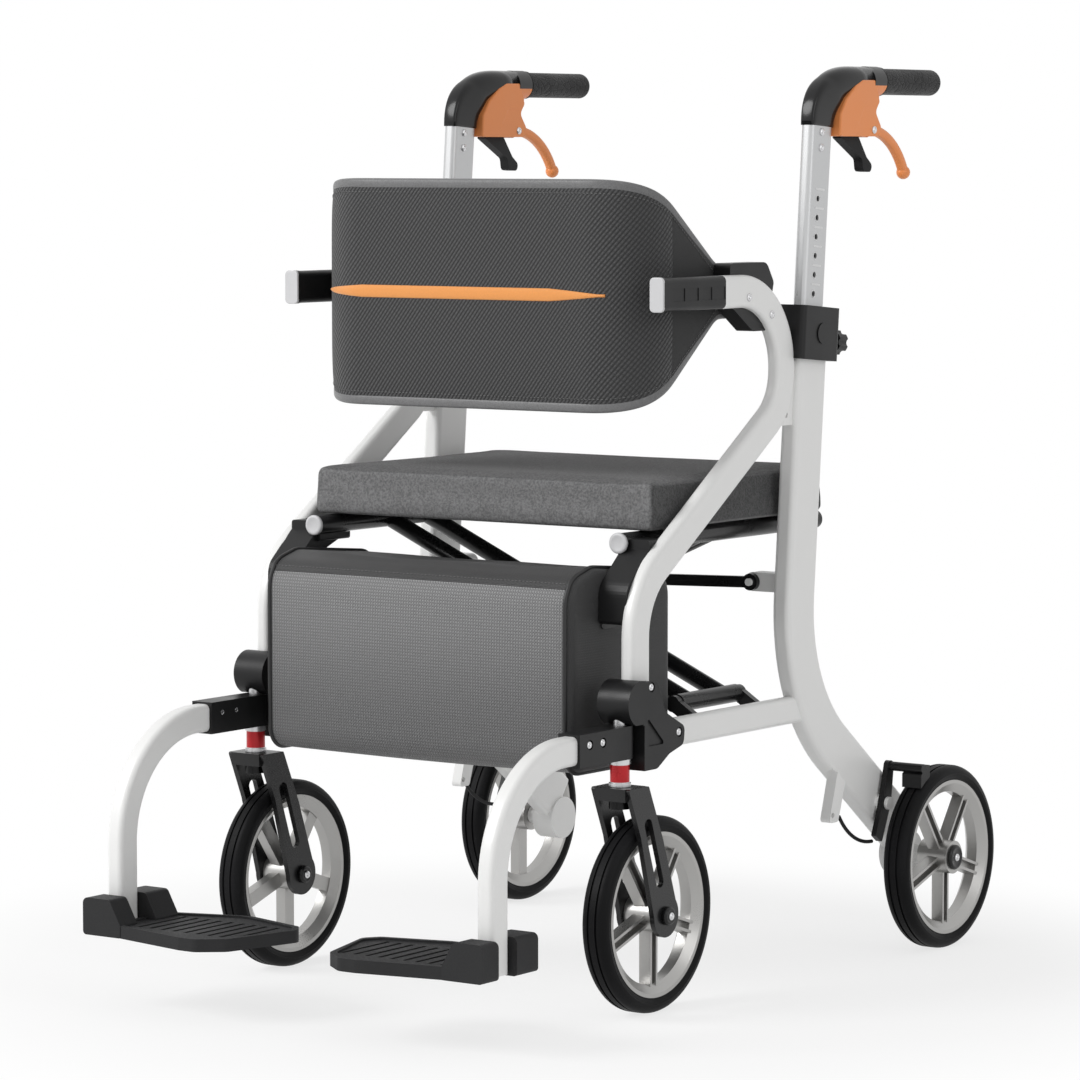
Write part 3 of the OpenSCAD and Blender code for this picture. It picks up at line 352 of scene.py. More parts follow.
def build_grain_group():
    """Fine surface grain and a slow drift of tone, for paint, plastic and metal."""
    bench, given, result = shader_group("Grain", [("Vector", VECTOR), ("Scale", VALUE)], ["Height", "Tone"])
    fine = bench.noise(given["Vector"], given["Scale"], 3.0, 0.55)
    slow = bench.noise(given["Vector"], bench.sum("MULTIPLY", given["Scale"], 0.02), 2.0, 0.5)
    mixed = bench.sum("ADD", bench.sum("MULTIPLY", fine, 0.35), bench.sum("MULTIPLY", slow, 0.65))
    bench.feed(result["Height"], fine)
    bench.feed(result["Tone"], mixed)


def build_basket_group():
    """Basket weave of two crossing threads, turned by an angle."""
    bench, given, result = shader_group(
        "Basket weave", [("Vector", VECTOR), ("Pitch", VALUE), ("Turn", VALUE), ("Lean", VALUE)],
        ["Height", "Tone"])
    x, y, _ = bench.split(bench.turned(given["Vector"], given["Turn"]))
    u = bench.sum("DIVIDE", x, given["Pitch"])
    v = bench.sum("DIVIDE", y, given["Pitch"])
    cell = bench.sum("ADD", bench.sum("FLOOR", u), bench.sum("FLOOR", v))
    odd = bench.sum("FLOORED_MODULO", cell, 2.0)
    bow_u = bench.wave(u, math.pi)
    bow_v = bench.wave(v, math.pi)
    across = bench.sum("MULTIPLY", bench.sum("POWER", bow_u, 0.5),
                       bench.sum("MULTIPLY_ADD", bow_v, 0.5, 0.5))
    along = bench.sum("MULTIPLY", bench.sum("POWER", bow_v, 0.5),
                      bench.sum("MULTIPLY_ADD", bow_u, 0.5, 0.5))
    height = bench.add("ShaderNodeMix", data_type="FLOAT")
    bench.feed(height.inputs[0], odd)
    bench.feed(height.inputs[2], across)
    bench.feed(height.inputs[3], along)
    fleck = bench.noise(given["Vector"], 900.0, 2.0, 0.6)
    tone = bench.sum("ADD", bench.sum("MULTIPLY", height.outputs[0], 0.55),
                     bench.sum("MULTIPLY", fleck, 0.3))
    bench.feed(result["Height"], height.outputs[0])
    bench.feed(result["Tone"], bench.sum("MULTIPLY_ADD", odd, given["Lean"], tone))


def build_rib_group():
    """Slanted knit ribs broken into small beads."""
    bench, given, result = shader_group(
        "Rib knit", [("Vector", VECTOR), ("Pitch", VALUE), ("Turn", VALUE)], ["Height", "Tone"])
    x, y, _ = bench.split(bench.turned(given["Vector"], given["Turn"]))
    beads_per_rib = 0.7
    rib = bench.wave(bench.sum("DIVIDE", y, given["Pitch"]), math.pi)
    bead = bench.wave(bench.sum("DIVIDE", x, given["Pitch"]), math.pi * beads_per_rib)
    shaped = bench.sum("MULTIPLY", bench.sum("POWER", rib, 1.4),
                       bench.sum("MULTIPLY_ADD", bead, 0.45, 0.55))
    fleck = bench.noise(given["Vector"], 1100.0, 2.0, 0.6)
    bench.feed(result["Height"], shaped)
    bench.feed(result["Tone"], bench.sum("MULTIPLY_ADD", fleck, 0.25, bench.sum("MULTIPLY", shaped, 0.75)))


def build_felt_group():
    """Short fibres in several lengths, for felted and brushed cloth."""
    bench, given, result = shader_group("Felt", [("Vector", VECTOR), ("Scale", VALUE)], ["Height", "Tone"])
    fine = bench.noise(given["Vector"], given["Scale"], 4.0, 0.7)
    tuft = bench.noise(given["Vector"], bench.sum("MULTIPLY", given["Scale"], 0.28), 3.0, 0.6)
    slow = bench.noise(given["Vector"], bench.sum("MULTIPLY", given["Scale"], 0.02), 1.0, 0.5)
    crisp = bench.ramp(fine, 0.32, 0.68)
    height = bench.sum("ADD", bench.sum("MULTIPLY", crisp, 0.5), bench.sum("MULTIPLY", tuft, 0.5))
    bench.feed(result["Height"], height)
    bench.feed(result["Tone"], bench.sum("MULTIPLY_ADD", slow, 0.2, bench.sum("MULTIPLY", height, 0.8)))


def build_wheel_group():
    """Angle and distance round an axle that runs along X through a centre."""
    bench, given, result = shader_group(
        "Round axle", [("Vector", VECTOR), ("Centre", VECTOR)], ["Turns", "Radius"])
    shift = bench.add("ShaderNodeVectorMath", operation="SUBTRACT")
    bench.feed(shift.inputs[0], given["Vector"])
    bench.feed(shift.inputs[1], given["Centre"])
    _, y, z = bench.split(shift.outputs[0])
    angle = bench.sum("DIVIDE", bench.sum("ARCTAN2", z, y), 2 * math.pi)
    squares = bench.sum("ADD", bench.sum("MULTIPLY", y, y), bench.sum("MULTIPLY", z, z))
    bench.feed(result["Turns"], angle)
    bench.feed(result["Radius"], bench.sum("SQRT", squares))


def start_material(name, rough=0.5, metal=0.0, **sockets):
    """A new material with one Principled shader; constant values go straight on its sockets."""
    material = bpy.data.materials.new(name)
    material.use_nodes = True
    bench = Bench(material.node_tree)
    shader = find_node(material.node_tree, "BSDF_PRINCIPLED")
    shader.inputs["Roughness"].default_value = rough
    shader.inputs["Metallic"].default_value = metal
    for key, value in sockets.items():
        shader.inputs[key.replace("_", " ")].default_value = value
    return material, bench, shader


def own_place(bench):
    """Object coordinates of a piece, in metres."""
    return bench.add("ShaderNodeTexCoord").outputs["Object"]


def cloth_place(bench):
    """The cloth's own flat coordinates, in metres."""
    return bench.add("ShaderNodeUVMap", uv_map="cloth").outputs[0]


def toned(colour, factor):
    """A colour made darker or lighter, with full alpha."""
    return tuple(min(1.0, c * factor) for c in colour[:3]) + (1.0,)


def coated(name, colour, rough, metal=0.0, scale=900.0, tone=0.06, strength=0.12, distance=0.0003,
           spread=0.08, stretch=(1, 1, 1), **sockets):
    """Paint, plastic or metal with fine grain in its colour, gloss and relief."""
    material, bench, shader = start_material(name, rough, metal, **sockets)
    vector = own_place(bench)
    if stretch != (1, 1, 1):
        vector = bench.moved(vector, scale=stretch)
    height, drift = bench.group("Grain", vector=vector, scale=scale)
    mixed = bench.blend(drift, toned(colour, 1 - tone), toned(colour, 1 + tone))
    bench.feed(shader.inputs["Base Color"], mixed)
    bench.feed(shader.inputs["Roughness"], bench.ramp(drift, 0.25, 0.75, rough - spread, rough + spread))
    bench.feed(shader.inputs["Normal"], bench.bump(height, strength, distance))
    return material


def part_painted(material, colour, mask):
    """Paints over a part of a finish: mask gets the bench and the three object coordinates."""
    bench = Bench(material.node_tree)
    shader = find_node(material.node_tree, "BSDF_PRINCIPLED")
    plain = shader.inputs["Base Color"].links[0].from_socket
    share = mask(bench, *bench.split(own_place(bench)))
    bench.feed(shader.inputs["Base Color"], bench.blend(share, plain, toned(colour, 1.0)))
    return material


def rail_lugs(bench, x, y, z):
    """One on the brace lugs, which stand inside the lower rails and ahead of the rear stubs."""
    inside = bench.ramp(bench.sum("ABSOLUTE", x), 221.0 * MM, 220.4 * MM)
    ahead = bench.ramp(y, 250 * MM, 245 * MM)
    below = bench.ramp(z, 345 * MM, 340 * MM)
    return bench.sum("MULTIPLY", bench.sum("MULTIPLY", inside, ahead), below)


def side_top_painted_shade(bench, x, y, z):
    """Painted shade: share of the felt's colour darkened on the sides and on the top, by the way each face
    turns.
    """
    from_side, from_top = 0.58, 0.34
    across, _, up = bench.split(bench.add("ShaderNodeNewGeometry").outputs["Normal"])
    side = bench.ramp(bench.sum("ABSOLUTE", across), 0.6, 0.9, 0.0, from_side)
    return bench.sum("ADD", side, bench.ramp(up, 0.6, 0.9, 0.0, from_top))


def hang_shade(bench, x, y, z):
    """Share of the light lost towards the bag's bottom, where its front turns under."""
    top, bottom, most = 430 * MM, 262 * MM, 0.42
    return bench.ramp(z, top, bottom, 0.0, most)


def strap_half(bench, x, y, z):
    """One on the upper half of the clamp that holds a brake to its grip."""
    split, edge = 936 * MM, 0.4 * MM
    return bench.ramp(z, split - edge, split + edge)


def tyre_rubber(name, colour, centre):
    """Black rubber with a worn tread and faint moulding lines on the wall."""
    rough = 0.5
    seams = 24
    wall_line = 90.5 * MM
    material, bench, shader = start_material(name, rough, Specular_IOR_Level=0.1)
    vector = own_place(bench)
    turns, radius = bench.group("Round axle", vector=vector, centre=centre)
    height, drift = bench.group("Grain", vector=vector, scale=700.0)
    tread = bench.ramp(radius, 94 * MM, 96.5 * MM)
    seam = bench.sum("MULTIPLY", bench.ramp(bench.wave(turns, math.pi * seams), 0.03, 0.0), tread)
    from_line = bench.sum("ABSOLUTE", bench.sum("SUBTRACT", radius, wall_line))
    line = bench.ramp(from_line, 1.2 * MM, 0.4 * MM)
    relief = bench.sum("MULTIPLY_ADD", height, 0.2, bench.sum("MULTIPLY_ADD", seam, 0.3, line))
    worn = bench.sum("MULTIPLY", bench.ramp(drift, 0.45, 0.7), tread)
    bench.feed(shader.inputs["Base Color"], bench.blend(worn, toned(colour, 1.0), toned(colour, 2.2)))
    bench.feed(shader.inputs["Roughness"], bench.ramp(drift, 0.25, 0.75, rough - 0.12, rough + 0.12))
    bench.feed(shader.inputs["Normal"], bench.bump(relief, 0.5, 0.0006))
    return material


def grip_rubber(name, colour):
    """Soft rubber with a raised pattern of small cells."""
    material, bench, shader = start_material(name, 0.5, Specular_IOR_Level=0.3)
    vector = own_place(bench)
    cells = bench.add("ShaderNodeTexVoronoi")
    cells.feature = "DISTANCE_TO_EDGE"
    bench.feed(cells.inputs["Vector"], bench.moved(vector, scale=(1, 0.7, 1)))
    cells.inputs["Scale"].default_value = 170.0
    height, drift = bench.group("Grain", vector=vector, scale=900.0)
    pad = bench.ramp(cells.outputs["Distance"], 0.02, 0.12)
    bench.feed(shader.inputs["Base Color"], bench.blend(pad, toned(colour, 0.6), toned(colour, 1.25)))
    bench.feed(shader.inputs["Roughness"], bench.ramp(drift, 0.2, 0.8, 0.38, 0.62))
    bench.feed(shader.inputs["Normal"], bench.bump(bench.sum("MULTIPLY_ADD", height, 0.15, pad), 0.8, 0.0009))
    return material


def collar_stack(name, red, steel):
    """A zinc post whose middle ring is red anodised; below its socket's top it is painted near black as shade
    where it is sunk.
    """
    low, high = 240 * MM, 257.2 * MM
    edge = 0.4 * MM
    socket_top = 222.3 * MM
    material, bench, shader = start_material(name, 0.32, 0.9)
    vector = own_place(bench)
    height, drift = bench.group("Grain", vector=vector, scale=1200.0)
    z = bench.split(vector)[2]
    above = bench.ramp(z, low - edge, low + edge)
    ring = bench.sum("MULTIPLY", above, bench.ramp(z, high + edge, high - edge))
    plated = bench.blend(drift, toned(steel, 0.85), toned(steel, 1.1))
    # Painted shade: near black below the socket's top, where the post is sunk.
    sunk = bench.ramp(z, socket_top + 0.3 * MM, socket_top - 0.3 * MM)
    plated_with_shade = bench.blend(sunk, plated, toned(steel, 0.03))
    dyed = bench.blend(drift, toned(red, 0.85), toned(red, 1.15))
    bench.feed(shader.inputs["Base Color"], bench.blend(ring, plated_with_shade, dyed))
    bench.feed(shader.inputs["Metallic"], bench.ramp(ring, 0.0, 1.0, 0.95, 0.35, smooth=False))
    bench.feed(shader.inputs["Roughness"], bench.ramp(drift, 0.2, 0.8, 0.2, 0.4))
    bench.feed(shader.inputs["Normal"], bench.bump(height, 0.1, 0.0002))
    return material


def tread_plastic(name, colour):
    """Black foot plate plastic with a fine diamond tread on its flat top."""
    rough = 0.6
    pitch = 5 * MM
    material, bench, shader = start_material(name, rough, Specular_IOR_Level=0.28)
    vector = own_place(bench)
    height, drift = bench.group("Grain", vector=vector, scale=600.0)
    x, y, _ = bench.split(bench.moved(vector, rotation=(0, 0, math.radians(45))))
    both = bench.sum("MULTIPLY", bench.wave(x, math.pi / pitch), bench.wave(y, math.pi / pitch))
    stud = bench.ramp(both, 0.35, 0.6)
    normal_z = bench.split(bench.add("ShaderNodeNewGeometry").outputs["True Normal"])[2]
    flat = bench.ramp(normal_z, 0.9, 0.97)
    relief = bench.sum("MULTIPLY_ADD", height, 0.3, bench.sum("MULTIPLY", stud, flat))
    dust = bench.sum("MULTIPLY", bench.ramp(drift, 0.45, 0.75), flat)
    bench.feed(shader.inputs["Base Color"], bench.blend(dust, toned(colour, 1.0), toned(colour, 1.9)))
    bench.feed(shader.inputs["Roughness"], bench.ramp(drift, 0.25, 0.75, rough - 0.1, rough + 0.15))
    bench.feed(shader.inputs["Normal"], bench.bump(relief, 0.5, 0.0006))
    return material


def woven(name, group, colour, dark, light, rough, pitch, turn, strength, distance, sheen=0.2, **more):
    """Cloth whose threads follow its own flat coordinates."""
    material, bench, shader = start_material(name, rough, Sheen_Weight=sheen)
    shader.inputs["Sheen Roughness"].default_value = 0.5
    vector = cloth_place(bench)
    height, tone = bench.group(group, vector=vector, pitch=pitch, turn=turn, **more)
    bench.feed(shader.inputs["Base Color"], bench.blend(tone, toned(colour, dark), toned(colour, light)))
    bench.feed(shader.inputs["Roughness"], bench.ramp(tone, 0.2, 0.9, rough + 0.1, rough - 0.1))
    bench.feed(shader.inputs["Normal"], bench.bump(height, strength, distance))
    return material


def felted(name, colour, dark, light, rough, scale, strength, distance):
    """Brushed cloth or felt by object coordinates."""
    material, bench, shader = start_material(name, rough, Sheen_Weight=0.08, Specular_IOR_Level=0.3)
    shader.inputs["Sheen Roughness"].default_value = 0.6
    vector = own_place(bench)
    height, tone = bench.group("Felt", vector=vector, scale=scale)
    share = bench.ramp(tone, 0.25, 0.75)
    bench.feed(shader.inputs["Base Color"], bench.blend(share, toned(colour, dark), toned(colour, light)))
    bench.feed(shader.inputs["Roughness"], bench.ramp(tone, 0.2, 0.8, rough + 0.08, rough - 0.08))
    bench.feed(shader.inputs["Normal"], bench.bump(height, strength, distance))
    return material


def satin_stitch(name, colour):
    """Thread laid side by side across a stripe."""
    pitch = 0.9 * MM
    material, bench, shader = start_material(name, 0.45, Sheen_Weight=0.3)
    thread = bench.wave(bench.split(cloth_place(bench))[0], math.pi / pitch)
    fleck = bench.noise(cloth_place(bench), 500.0, 2.0, 0.5)
    tone = bench.sum("MULTIPLY_ADD", fleck, 0.4, bench.sum("MULTIPLY", thread, 0.6))
    bench.feed(shader.inputs["Base Color"], bench.blend(tone, toned(colour, 0.8), toned(colour, 1.15)))
    bench.feed(shader.inputs["Normal"], bench.bump(thread, 0.5, 0.0004))
    return material


# Geometry node trees


def node_tree(name, inputs):
    """A new geometry node tree with named inputs after its geometry."""
    tree = bpy.data.node_groups.new(name, "GeometryNodeTree")
    tree.interface.new_socket("Geometry", in_out="INPUT", socket_type="NodeSocketGeometry")
    for label, kind, default in inputs:
        socket = tree.interface.new_socket(label, in_out="INPUT", socket_type=kind)
        if default is not None:
            socket.default_value = default
    tree.interface.new_socket("Geometry", in_out="OUTPUT", socket_type="NodeSocketGeometry")
    bench = Bench(tree)
    source = bench.add("NodeGroupInput").outputs
    sink = bench.add("NodeGroupOutput").inputs
    return bench, source, sink


def close_tree(bench, geometry, material, sink):
    """Ends a tree in plain geometry with its material."""
    real = bench.add("GeometryNodeRealizeInstances")
    bench.feed(real.inputs[0], geometry)
    smooth = bench.add("GeometryNodeSetShadeSmooth")
    bench.feed(smooth.inputs[0], real.outputs[0])
    paint = bench.add("GeometryNodeSetMaterial")
    bench.feed(paint.inputs["Geometry"], smooth.outputs[0])
    bench.feed(paint.inputs["Material"], material)
    bench.feed(sink[0], paint.outputs[0])


def build_screw_tree():
    """Sets a screw head on each point, facing the way the point says."""
    bench, given, sink = node_tree("Screws on points", [
        ("Head", "NodeSocketObject", None), ("Size", "NodeSocketFloat", 1.0),
        ("Material", "NodeSocketMaterial", None)])
    points = bench.add("GeometryNodeMeshToPoints")
    bench.feed(points.inputs["Mesh"], given["Geometry"])
    head = bench.add("GeometryNodeObjectInfo")
    bench.feed(head.inputs["Object"], given["Head"])
    facing = bench.add("GeometryNodeInputNamedAttribute", data_type="FLOAT_VECTOR")
    facing.inputs["Name"].default_value = "facing"
    turn = bench.add("FunctionNodeAlignRotationToVector", axis="Z")
    bench.feed(turn.inputs["Vector"], facing.outputs[0])
    put = bench.add("GeometryNodeInstanceOnPoints")
    bench.feed(put.inputs["Points"], points.outputs[0])
    bench.feed(put.inputs["Instance"], head.outputs["Geometry"])
    bench.feed(put.inputs["Rotation"], turn.outputs[0])
    size = bench.add("ShaderNodeCombineXYZ")
    for k in range(3):
        bench.feed(size.inputs[k], given["Size"])
    bench.feed(put.inputs["Scale"], size.outputs[0])
    close_tree(bench, put.outputs[0], given["Material"], sink)


def build_bead_tree():
    """Runs a round bead along a line."""
    bench, given, sink = node_tree("Bead along a line", [
        ("Radius", "NodeSocketFloat", 0.002), ("Step", "NodeSocketFloat", 0.004),
        ("Material", "NodeSocketMaterial", None)])
    curve = bench.add("GeometryNodeMeshToCurve")
    bench.feed(curve.inputs["Mesh"], given["Geometry"])
    even = bench.add("GeometryNodeResampleCurve", mode="LENGTH")
    bench.feed(even.inputs["Curve"], curve.outputs[0])
    bench.feed(even.inputs["Length"], given["Step"])
    ring = bench.add("GeometryNodeCurvePrimitiveCircle")
    ring.inputs["Resolution"].default_value = 10
    bench.feed(ring.inputs["Radius"], given["Radius"])
    tube = bench.add("GeometryNodeCurveToMesh")
    bench.feed(tube.inputs["Curve"], even.outputs[0])
    bench.feed(tube.inputs["Profile Curve"], ring.outputs[0])
    tube.inputs["Fill Caps"].default_value = True
    close_tree(bench, tube.outputs[0], given["Material"], sink)


def build_stitch_tree():
    """Lays short stitches end to end along a line."""
    bench, given, sink = node_tree("Stitches along a line", [
        ("Pitch", "NodeSocketFloat", 0.005), ("Thread", "NodeSocketFloat", 0.0006),
        ("Material", "NodeSocketMaterial", None)])
    curve = bench.add("GeometryNodeMeshToCurve")
    bench.feed(curve.inputs["Mesh"], given["Geometry"])
    even = bench.add("GeometryNodeResampleCurve", mode="LENGTH")
    bench.feed(even.inputs["Curve"], curve.outputs[0])
    bench.feed(even.inputs["Length"], given["Pitch"])
    tangent = bench.add("GeometryNodeInputTangent")
    turn = bench.add("FunctionNodeAlignRotationToVector", axis="X")
    bench.feed(turn.inputs["Vector"], tangent.outputs[0])
    ball = bench.add("GeometryNodeMeshUVSphere")
    ball.inputs["Segments"].default_value = 6
    ball.inputs["Rings"].default_value = 4
    bench.feed(ball.inputs["Radius"], given["Thread"])
    put = bench.add("GeometryNodeInstanceOnPoints")
    bench.feed(put.inputs["Points"], even.outputs[0])
    bench.feed(put.inputs["Instance"], ball.outputs[0])
    bench.feed(put.inputs["Rotation"], turn.outputs[0])
    long = bench.sum("MULTIPLY", bench.sum("DIVIDE", given["Pitch"], given["Thread"]), 0.36)
    shape = bench.add("ShaderNodeCombineXYZ")
    bench.feed(shape.inputs[0], long)
    shape.inputs[1].default_value = 1.0
    shape.inputs[2].default_value = 1.0
    bench.feed(put.inputs["Scale"], shape.outputs[0])
    close_tree(bench, put.outputs[0], given["Material"], sink)


def grown(name, base, tree_name, **values):
    """Runs a tree on a base mesh and keeps the result as a plain mesh object."""
    tree = bpy.data.node_groups[tree_name]
    modifier = base.modifiers.new("Grow", "NODES")
    modifier.node_group = tree
    for item in tree.interface.items_tree:
        if item.in_out == "INPUT" and item.name in values:
            modifier[item.identifier] = values[item.name]
    bpy.context.view_layer.update()
    mesh = evaluated_mesh(base)
    mesh.name = name
    bpy.data.objects.remove(base)
    if len(mesh.polygons) == 0:
        raise RuntimeError(f"{name} came out empty")
    return add_object(name, mesh)


def line_object(lines, closed=False):
    """A mesh of edges through one or more lines of points."""
    points = []
    edges = []
    for line in lines:
        start = len(points)
        points.extend(tuple(p) for p in line)
        edges.extend((start + k, start + k + 1) for k in range(len(line) - 1))
        if closed:
            edges.append((start + len(line) - 1, start))
    mesh = bpy.data.meshes.new("line")
    mesh.from_pydata(points, edges, [])
    return add_object("line", mesh)


def point_object(points, facings):
    """A mesh of single points, each with the way it faces."""
    mesh = bpy.data.meshes.new("points")
    mesh.from_pydata([tuple(p) for p in points], [], [])
    facing = mesh.attributes.new("facing", "FLOAT_VECTOR", "POINT")
    facing.data.foreach_set("vector", [c for f in facings for c in f])
    return add_object("points", mesh)


# Settings that a user would change


def colour_setting(name, description, default):
    return bpy.props.FloatVectorProperty(
        name=name, description=description, default=default, subtype="COLOR", size=3, min=0.0, max=1.0)


def length_setting(name, description, default):
    return bpy.props.FloatProperty(
        name=name, description=description, default=default, unit="LENGTH", min=0.0)


class ChairColours(bpy.types.PropertyGroup):
    """Colours of the chair's finishes."""

    frame: colour_setting("Frame", "Powder coat of the side frames", (0.86, 0.86, 0.85))
    handle: colour_setting("Handle", "Anodised handle tubes", (0.57, 0.575, 0.58))
    plastic: colour_setting("Plastic", "Black moulded parts", (0.010, 0.010, 0.0105))
    rubber: colour_setting("Rubber", "Tyres and grips", (0.0055, 0.0055, 0.006))
    orange: colour_setting("Orange", "Brake housings and levers", (0.90, 0.30, 0.088))
    collar: colour_setting("Collar", "Anodised ring on the caster posts", (0.5, 0.008, 0.014))
    rim: colour_setting("Rim", "Cast wheel rims", (0.40, 0.395, 0.385))
    steel: colour_setting("Steel", "Screws, axles and washers", (0.62, 0.62, 0.63))
    seat: colour_setting("Seat", "Felted seat cover", (0.165, 0.165, 0.167))
    band: colour_setting("Band", "Knitted back band", (0.034, 0.034, 0.035))
    binding: colour_setting("Binding", "Tape on the band's edges", (0.16, 0.16, 0.162))
    stripe: colour_setting("Stripe", "Plain stripe on the band", (0.86, 0.33, 0.07))
    bag_front: colour_setting("Bag front", "Woven front of the bag", (0.165, 0.165, 0.167))
    bag_side: colour_setting("Bag side", "Sides, back and flap of the bag", (0.013, 0.013, 0.0135))


class ChairSizes(bpy.types.PropertyGroup):
    """Sizes of the soft goods and small fittings."""

    seat_voxel: length_setting("Seat voxel", "Mesh size of the cushion before it swells", 0.0044)
    seat_swell: length_setting("Seat swell", "Most that the cushion's cover may swell", 0.0025)
    band_thick: length_setting("Band thickness", "Thickness of the padded band", 0.014)
    band_tape: length_setting("Tape width", "Width of the tape on the band's edge", 0.011)
    stripe_wide: length_setting("Stripe width", "Width of the stripe in its middle", 0.013)
    bag_bulge: length_setting("Bag bulge", "How far the bag's front swells", 0.005)
    bag_sag: length_setting("Bag sag", "How far the bag's bottom hangs", 0.006)
    piping: length_setting("Piping", "Radius of the bag's piping", 0.0022)
    screw: length_setting("Screw", "Radius of a screw head", 0.0042)


class ChairStage(bpy.types.PropertyGroup):
    """Light and camera of the studio."""

    lens: bpy.props.FloatProperty(
        name="Lens", description="Focal length", default=153.0, unit="CAMERA", min=10.0)
    sky: bpy.props.FloatProperty(
        name="Sky", description="Strength of the even light", default=0.5, min=0.0)
    key: bpy.props.FloatProperty(
        name="Key", description="Power of the large lamp at the front", default=130.0, unit="POWER", min=0.0)
    fill: bpy.props.FloatProperty(
        name="Fill", description="Power of the lamp at the side", default=14.0, unit="POWER", min=0.0)


def settings():
    """The three groups of settings: colours, sizes and stage."""
    return bpy.context.scene.chair_colours, bpy.context.scene.chair_sizes, bpy.context.scene.chair_stage


# The stage


# Where the camera stands, how far it turns from straight ahead and how far it looks down
CAMERA_AT = (2.7787, -3.9472, 0.8692)
CAMERA_TURN = math.radians(35.11)
CAMERA_DIP = math.radians(4.876)
SENSOR = 36.0
# Where each lamp stands, what it is aimed at and how wide it is
KEY_LAMP = ((-2.3, -3.3, 3.1), (0.0, -0.1, 0.5), 2.4)
FILL_LAMP = ((3.4, -0.6, 1.8), (0.1, 0.1, 0.5), 1.8)
FLOOR_REACH = 14.0
# The floor turns to plain white between these distances from the chair
WHITE_FROM, WHITE_AT = 0.5, 0.85
# Share of plain white on the floor beside the chair
WHITE_NEAR = 0.74
WHITE = (1, 1, 1, 1)


class CHAIR_OT_stage(bpy.types.Operator):
    """Camera, lamps, sky and floor of the studio"""

    bl_idname = "chair.stage"
    bl_label = "Stage"

    def execute(self, context):
        stage = settings()[2]
        scene = context.scene
        scene.view_settings.view_transform = "Standard"
        self.camera(scene, stage)
        self.sky(scene, stage)
        self.floor()
        self.lamp("key_lamp", *KEY_LAMP, stage.key)
        self.lamp("fill_lamp", *FILL_LAMP, stage.fill)
        return {"FINISHED"}

    def camera(self, scene, stage):
        data = bpy.data.cameras.new("camera")
        data.lens = stage.lens
        data.sensor_width = SENSOR
        camera = bpy.data.objects.new("camera", data)
        camera.location = CAMERA_AT
        level = math.cos(CAMERA_DIP)
        ahead = Vector((-math.sin(CAMERA_TURN) * level, math.cos(CAMERA_TURN) * level, -math.sin(CAMERA_DIP)))
        camera.rotation_mode = "QUATERNION"
        camera.rotation_quaternion = ahead.to_track_quat("-Z", "Y")
        scene.collection.objects.link(camera)
        scene.camera = camera

    def seen(self, bench):
        """One where the background is seen directly, in a mirror or through glass."""
        path = bench.add("ShaderNodeLightPath").outputs
        direct = bench.sum("MAXIMUM", path["Is Camera Ray"], path["Is Glossy Ray"])
        return bench.sum("MAXIMUM", direct, path["Is Transmission Ray"])

    def sky(self, scene, stage):
        world = bpy.data.worlds.new("sky")
        scene.world = world
        world.use_nodes = True
        bench = Bench(world.node_tree)
        back = find_node(world.node_tree, "BACKGROUND")
        back.inputs["Color"].default_value = WHITE
        strength = bench.ramp(self.seen(bench), 0.0, 1.0, stage.sky, 1.0, smooth=False)
        bench.feed(back.inputs["Strength"], strength)

    def floor(self):
        reach = FLOOR_REACH
        corners = [(-reach, -reach, 0), (reach, -reach, 0), (reach, reach, 0), (-reach, reach, 0)]
        floor = add_object("floor", mesh_of("floor", corners, [(0, 1, 2, 3)], smooth=False))
        material, bench, shader = start_material("floor_paper", 0.9)
        vector = own_place(bench)
        drift = bench.group("Grain", vector=vector, scale=60.0)["Tone"]
        paper = bench.blend(drift, toned(WHITE, 0.93), toned(WHITE, 0.95))
        bench.feed(shader.inputs["Base Color"], paper)
        shader.inputs["Specular IOR Level"].default_value = 0.0
        length = bench.add("ShaderNodeVectorMath", operation="LENGTH")
        bench.feed(length.inputs[0], vector)
        far = bench.ramp(length.outputs["Value"], WHITE_FROM, WHITE_AT)
        white = bench.sum("MULTIPLY_ADD", far, 1 - WHITE_NEAR, WHITE_NEAR)
        share = bench.sum("MULTIPLY", self.seen(bench), white)
        glow = bench.add("ShaderNodeEmission")
        glow.inputs["Color"].default_value = WHITE
        both = bench.add("ShaderNodeMixShader")
        bench.feed(both.inputs[0], share)
        bench.feed(both.inputs[1], shader.outputs[0])
        bench.feed(both.inputs[2], glow.outputs[0])
        end = find_node(material.node_tree, "OUTPUT_MATERIAL")
        bench.feed(end.inputs["Surface"], both.outputs[0])
        floor.data.materials.append(material)

    def lamp(self, name, place_at, aim, size, power):
        data = bpy.data.lights.new(name, "AREA")
        data.shape = "DISK"
        data.size = size
        data.energy = power
        lamp = bpy.data.objects.new(name, data)
        lamp.location = place_at
        lamp.rotation_mode = "QUATERNION"
        lamp.rotation_quaternion = (Vector(aim) - Vector(place_at)).to_track_quat("-Z", "Y")
        bpy.context.scene.collection.objects.link(lamp)


# Finishes of the rigid parts

# Each axle's distance from the middle of the wheelbase and its height, in millimetres
AXLE_Y, AXLE_Z = 250, 100
FRONT_AXLE = (0.0, -AXLE_Y * MM + MID_Y, AXLE_Z * MM)
REAR_AXLE = (0.0, AXLE_Y * MM + MID_Y, AXLE_Z * MM)


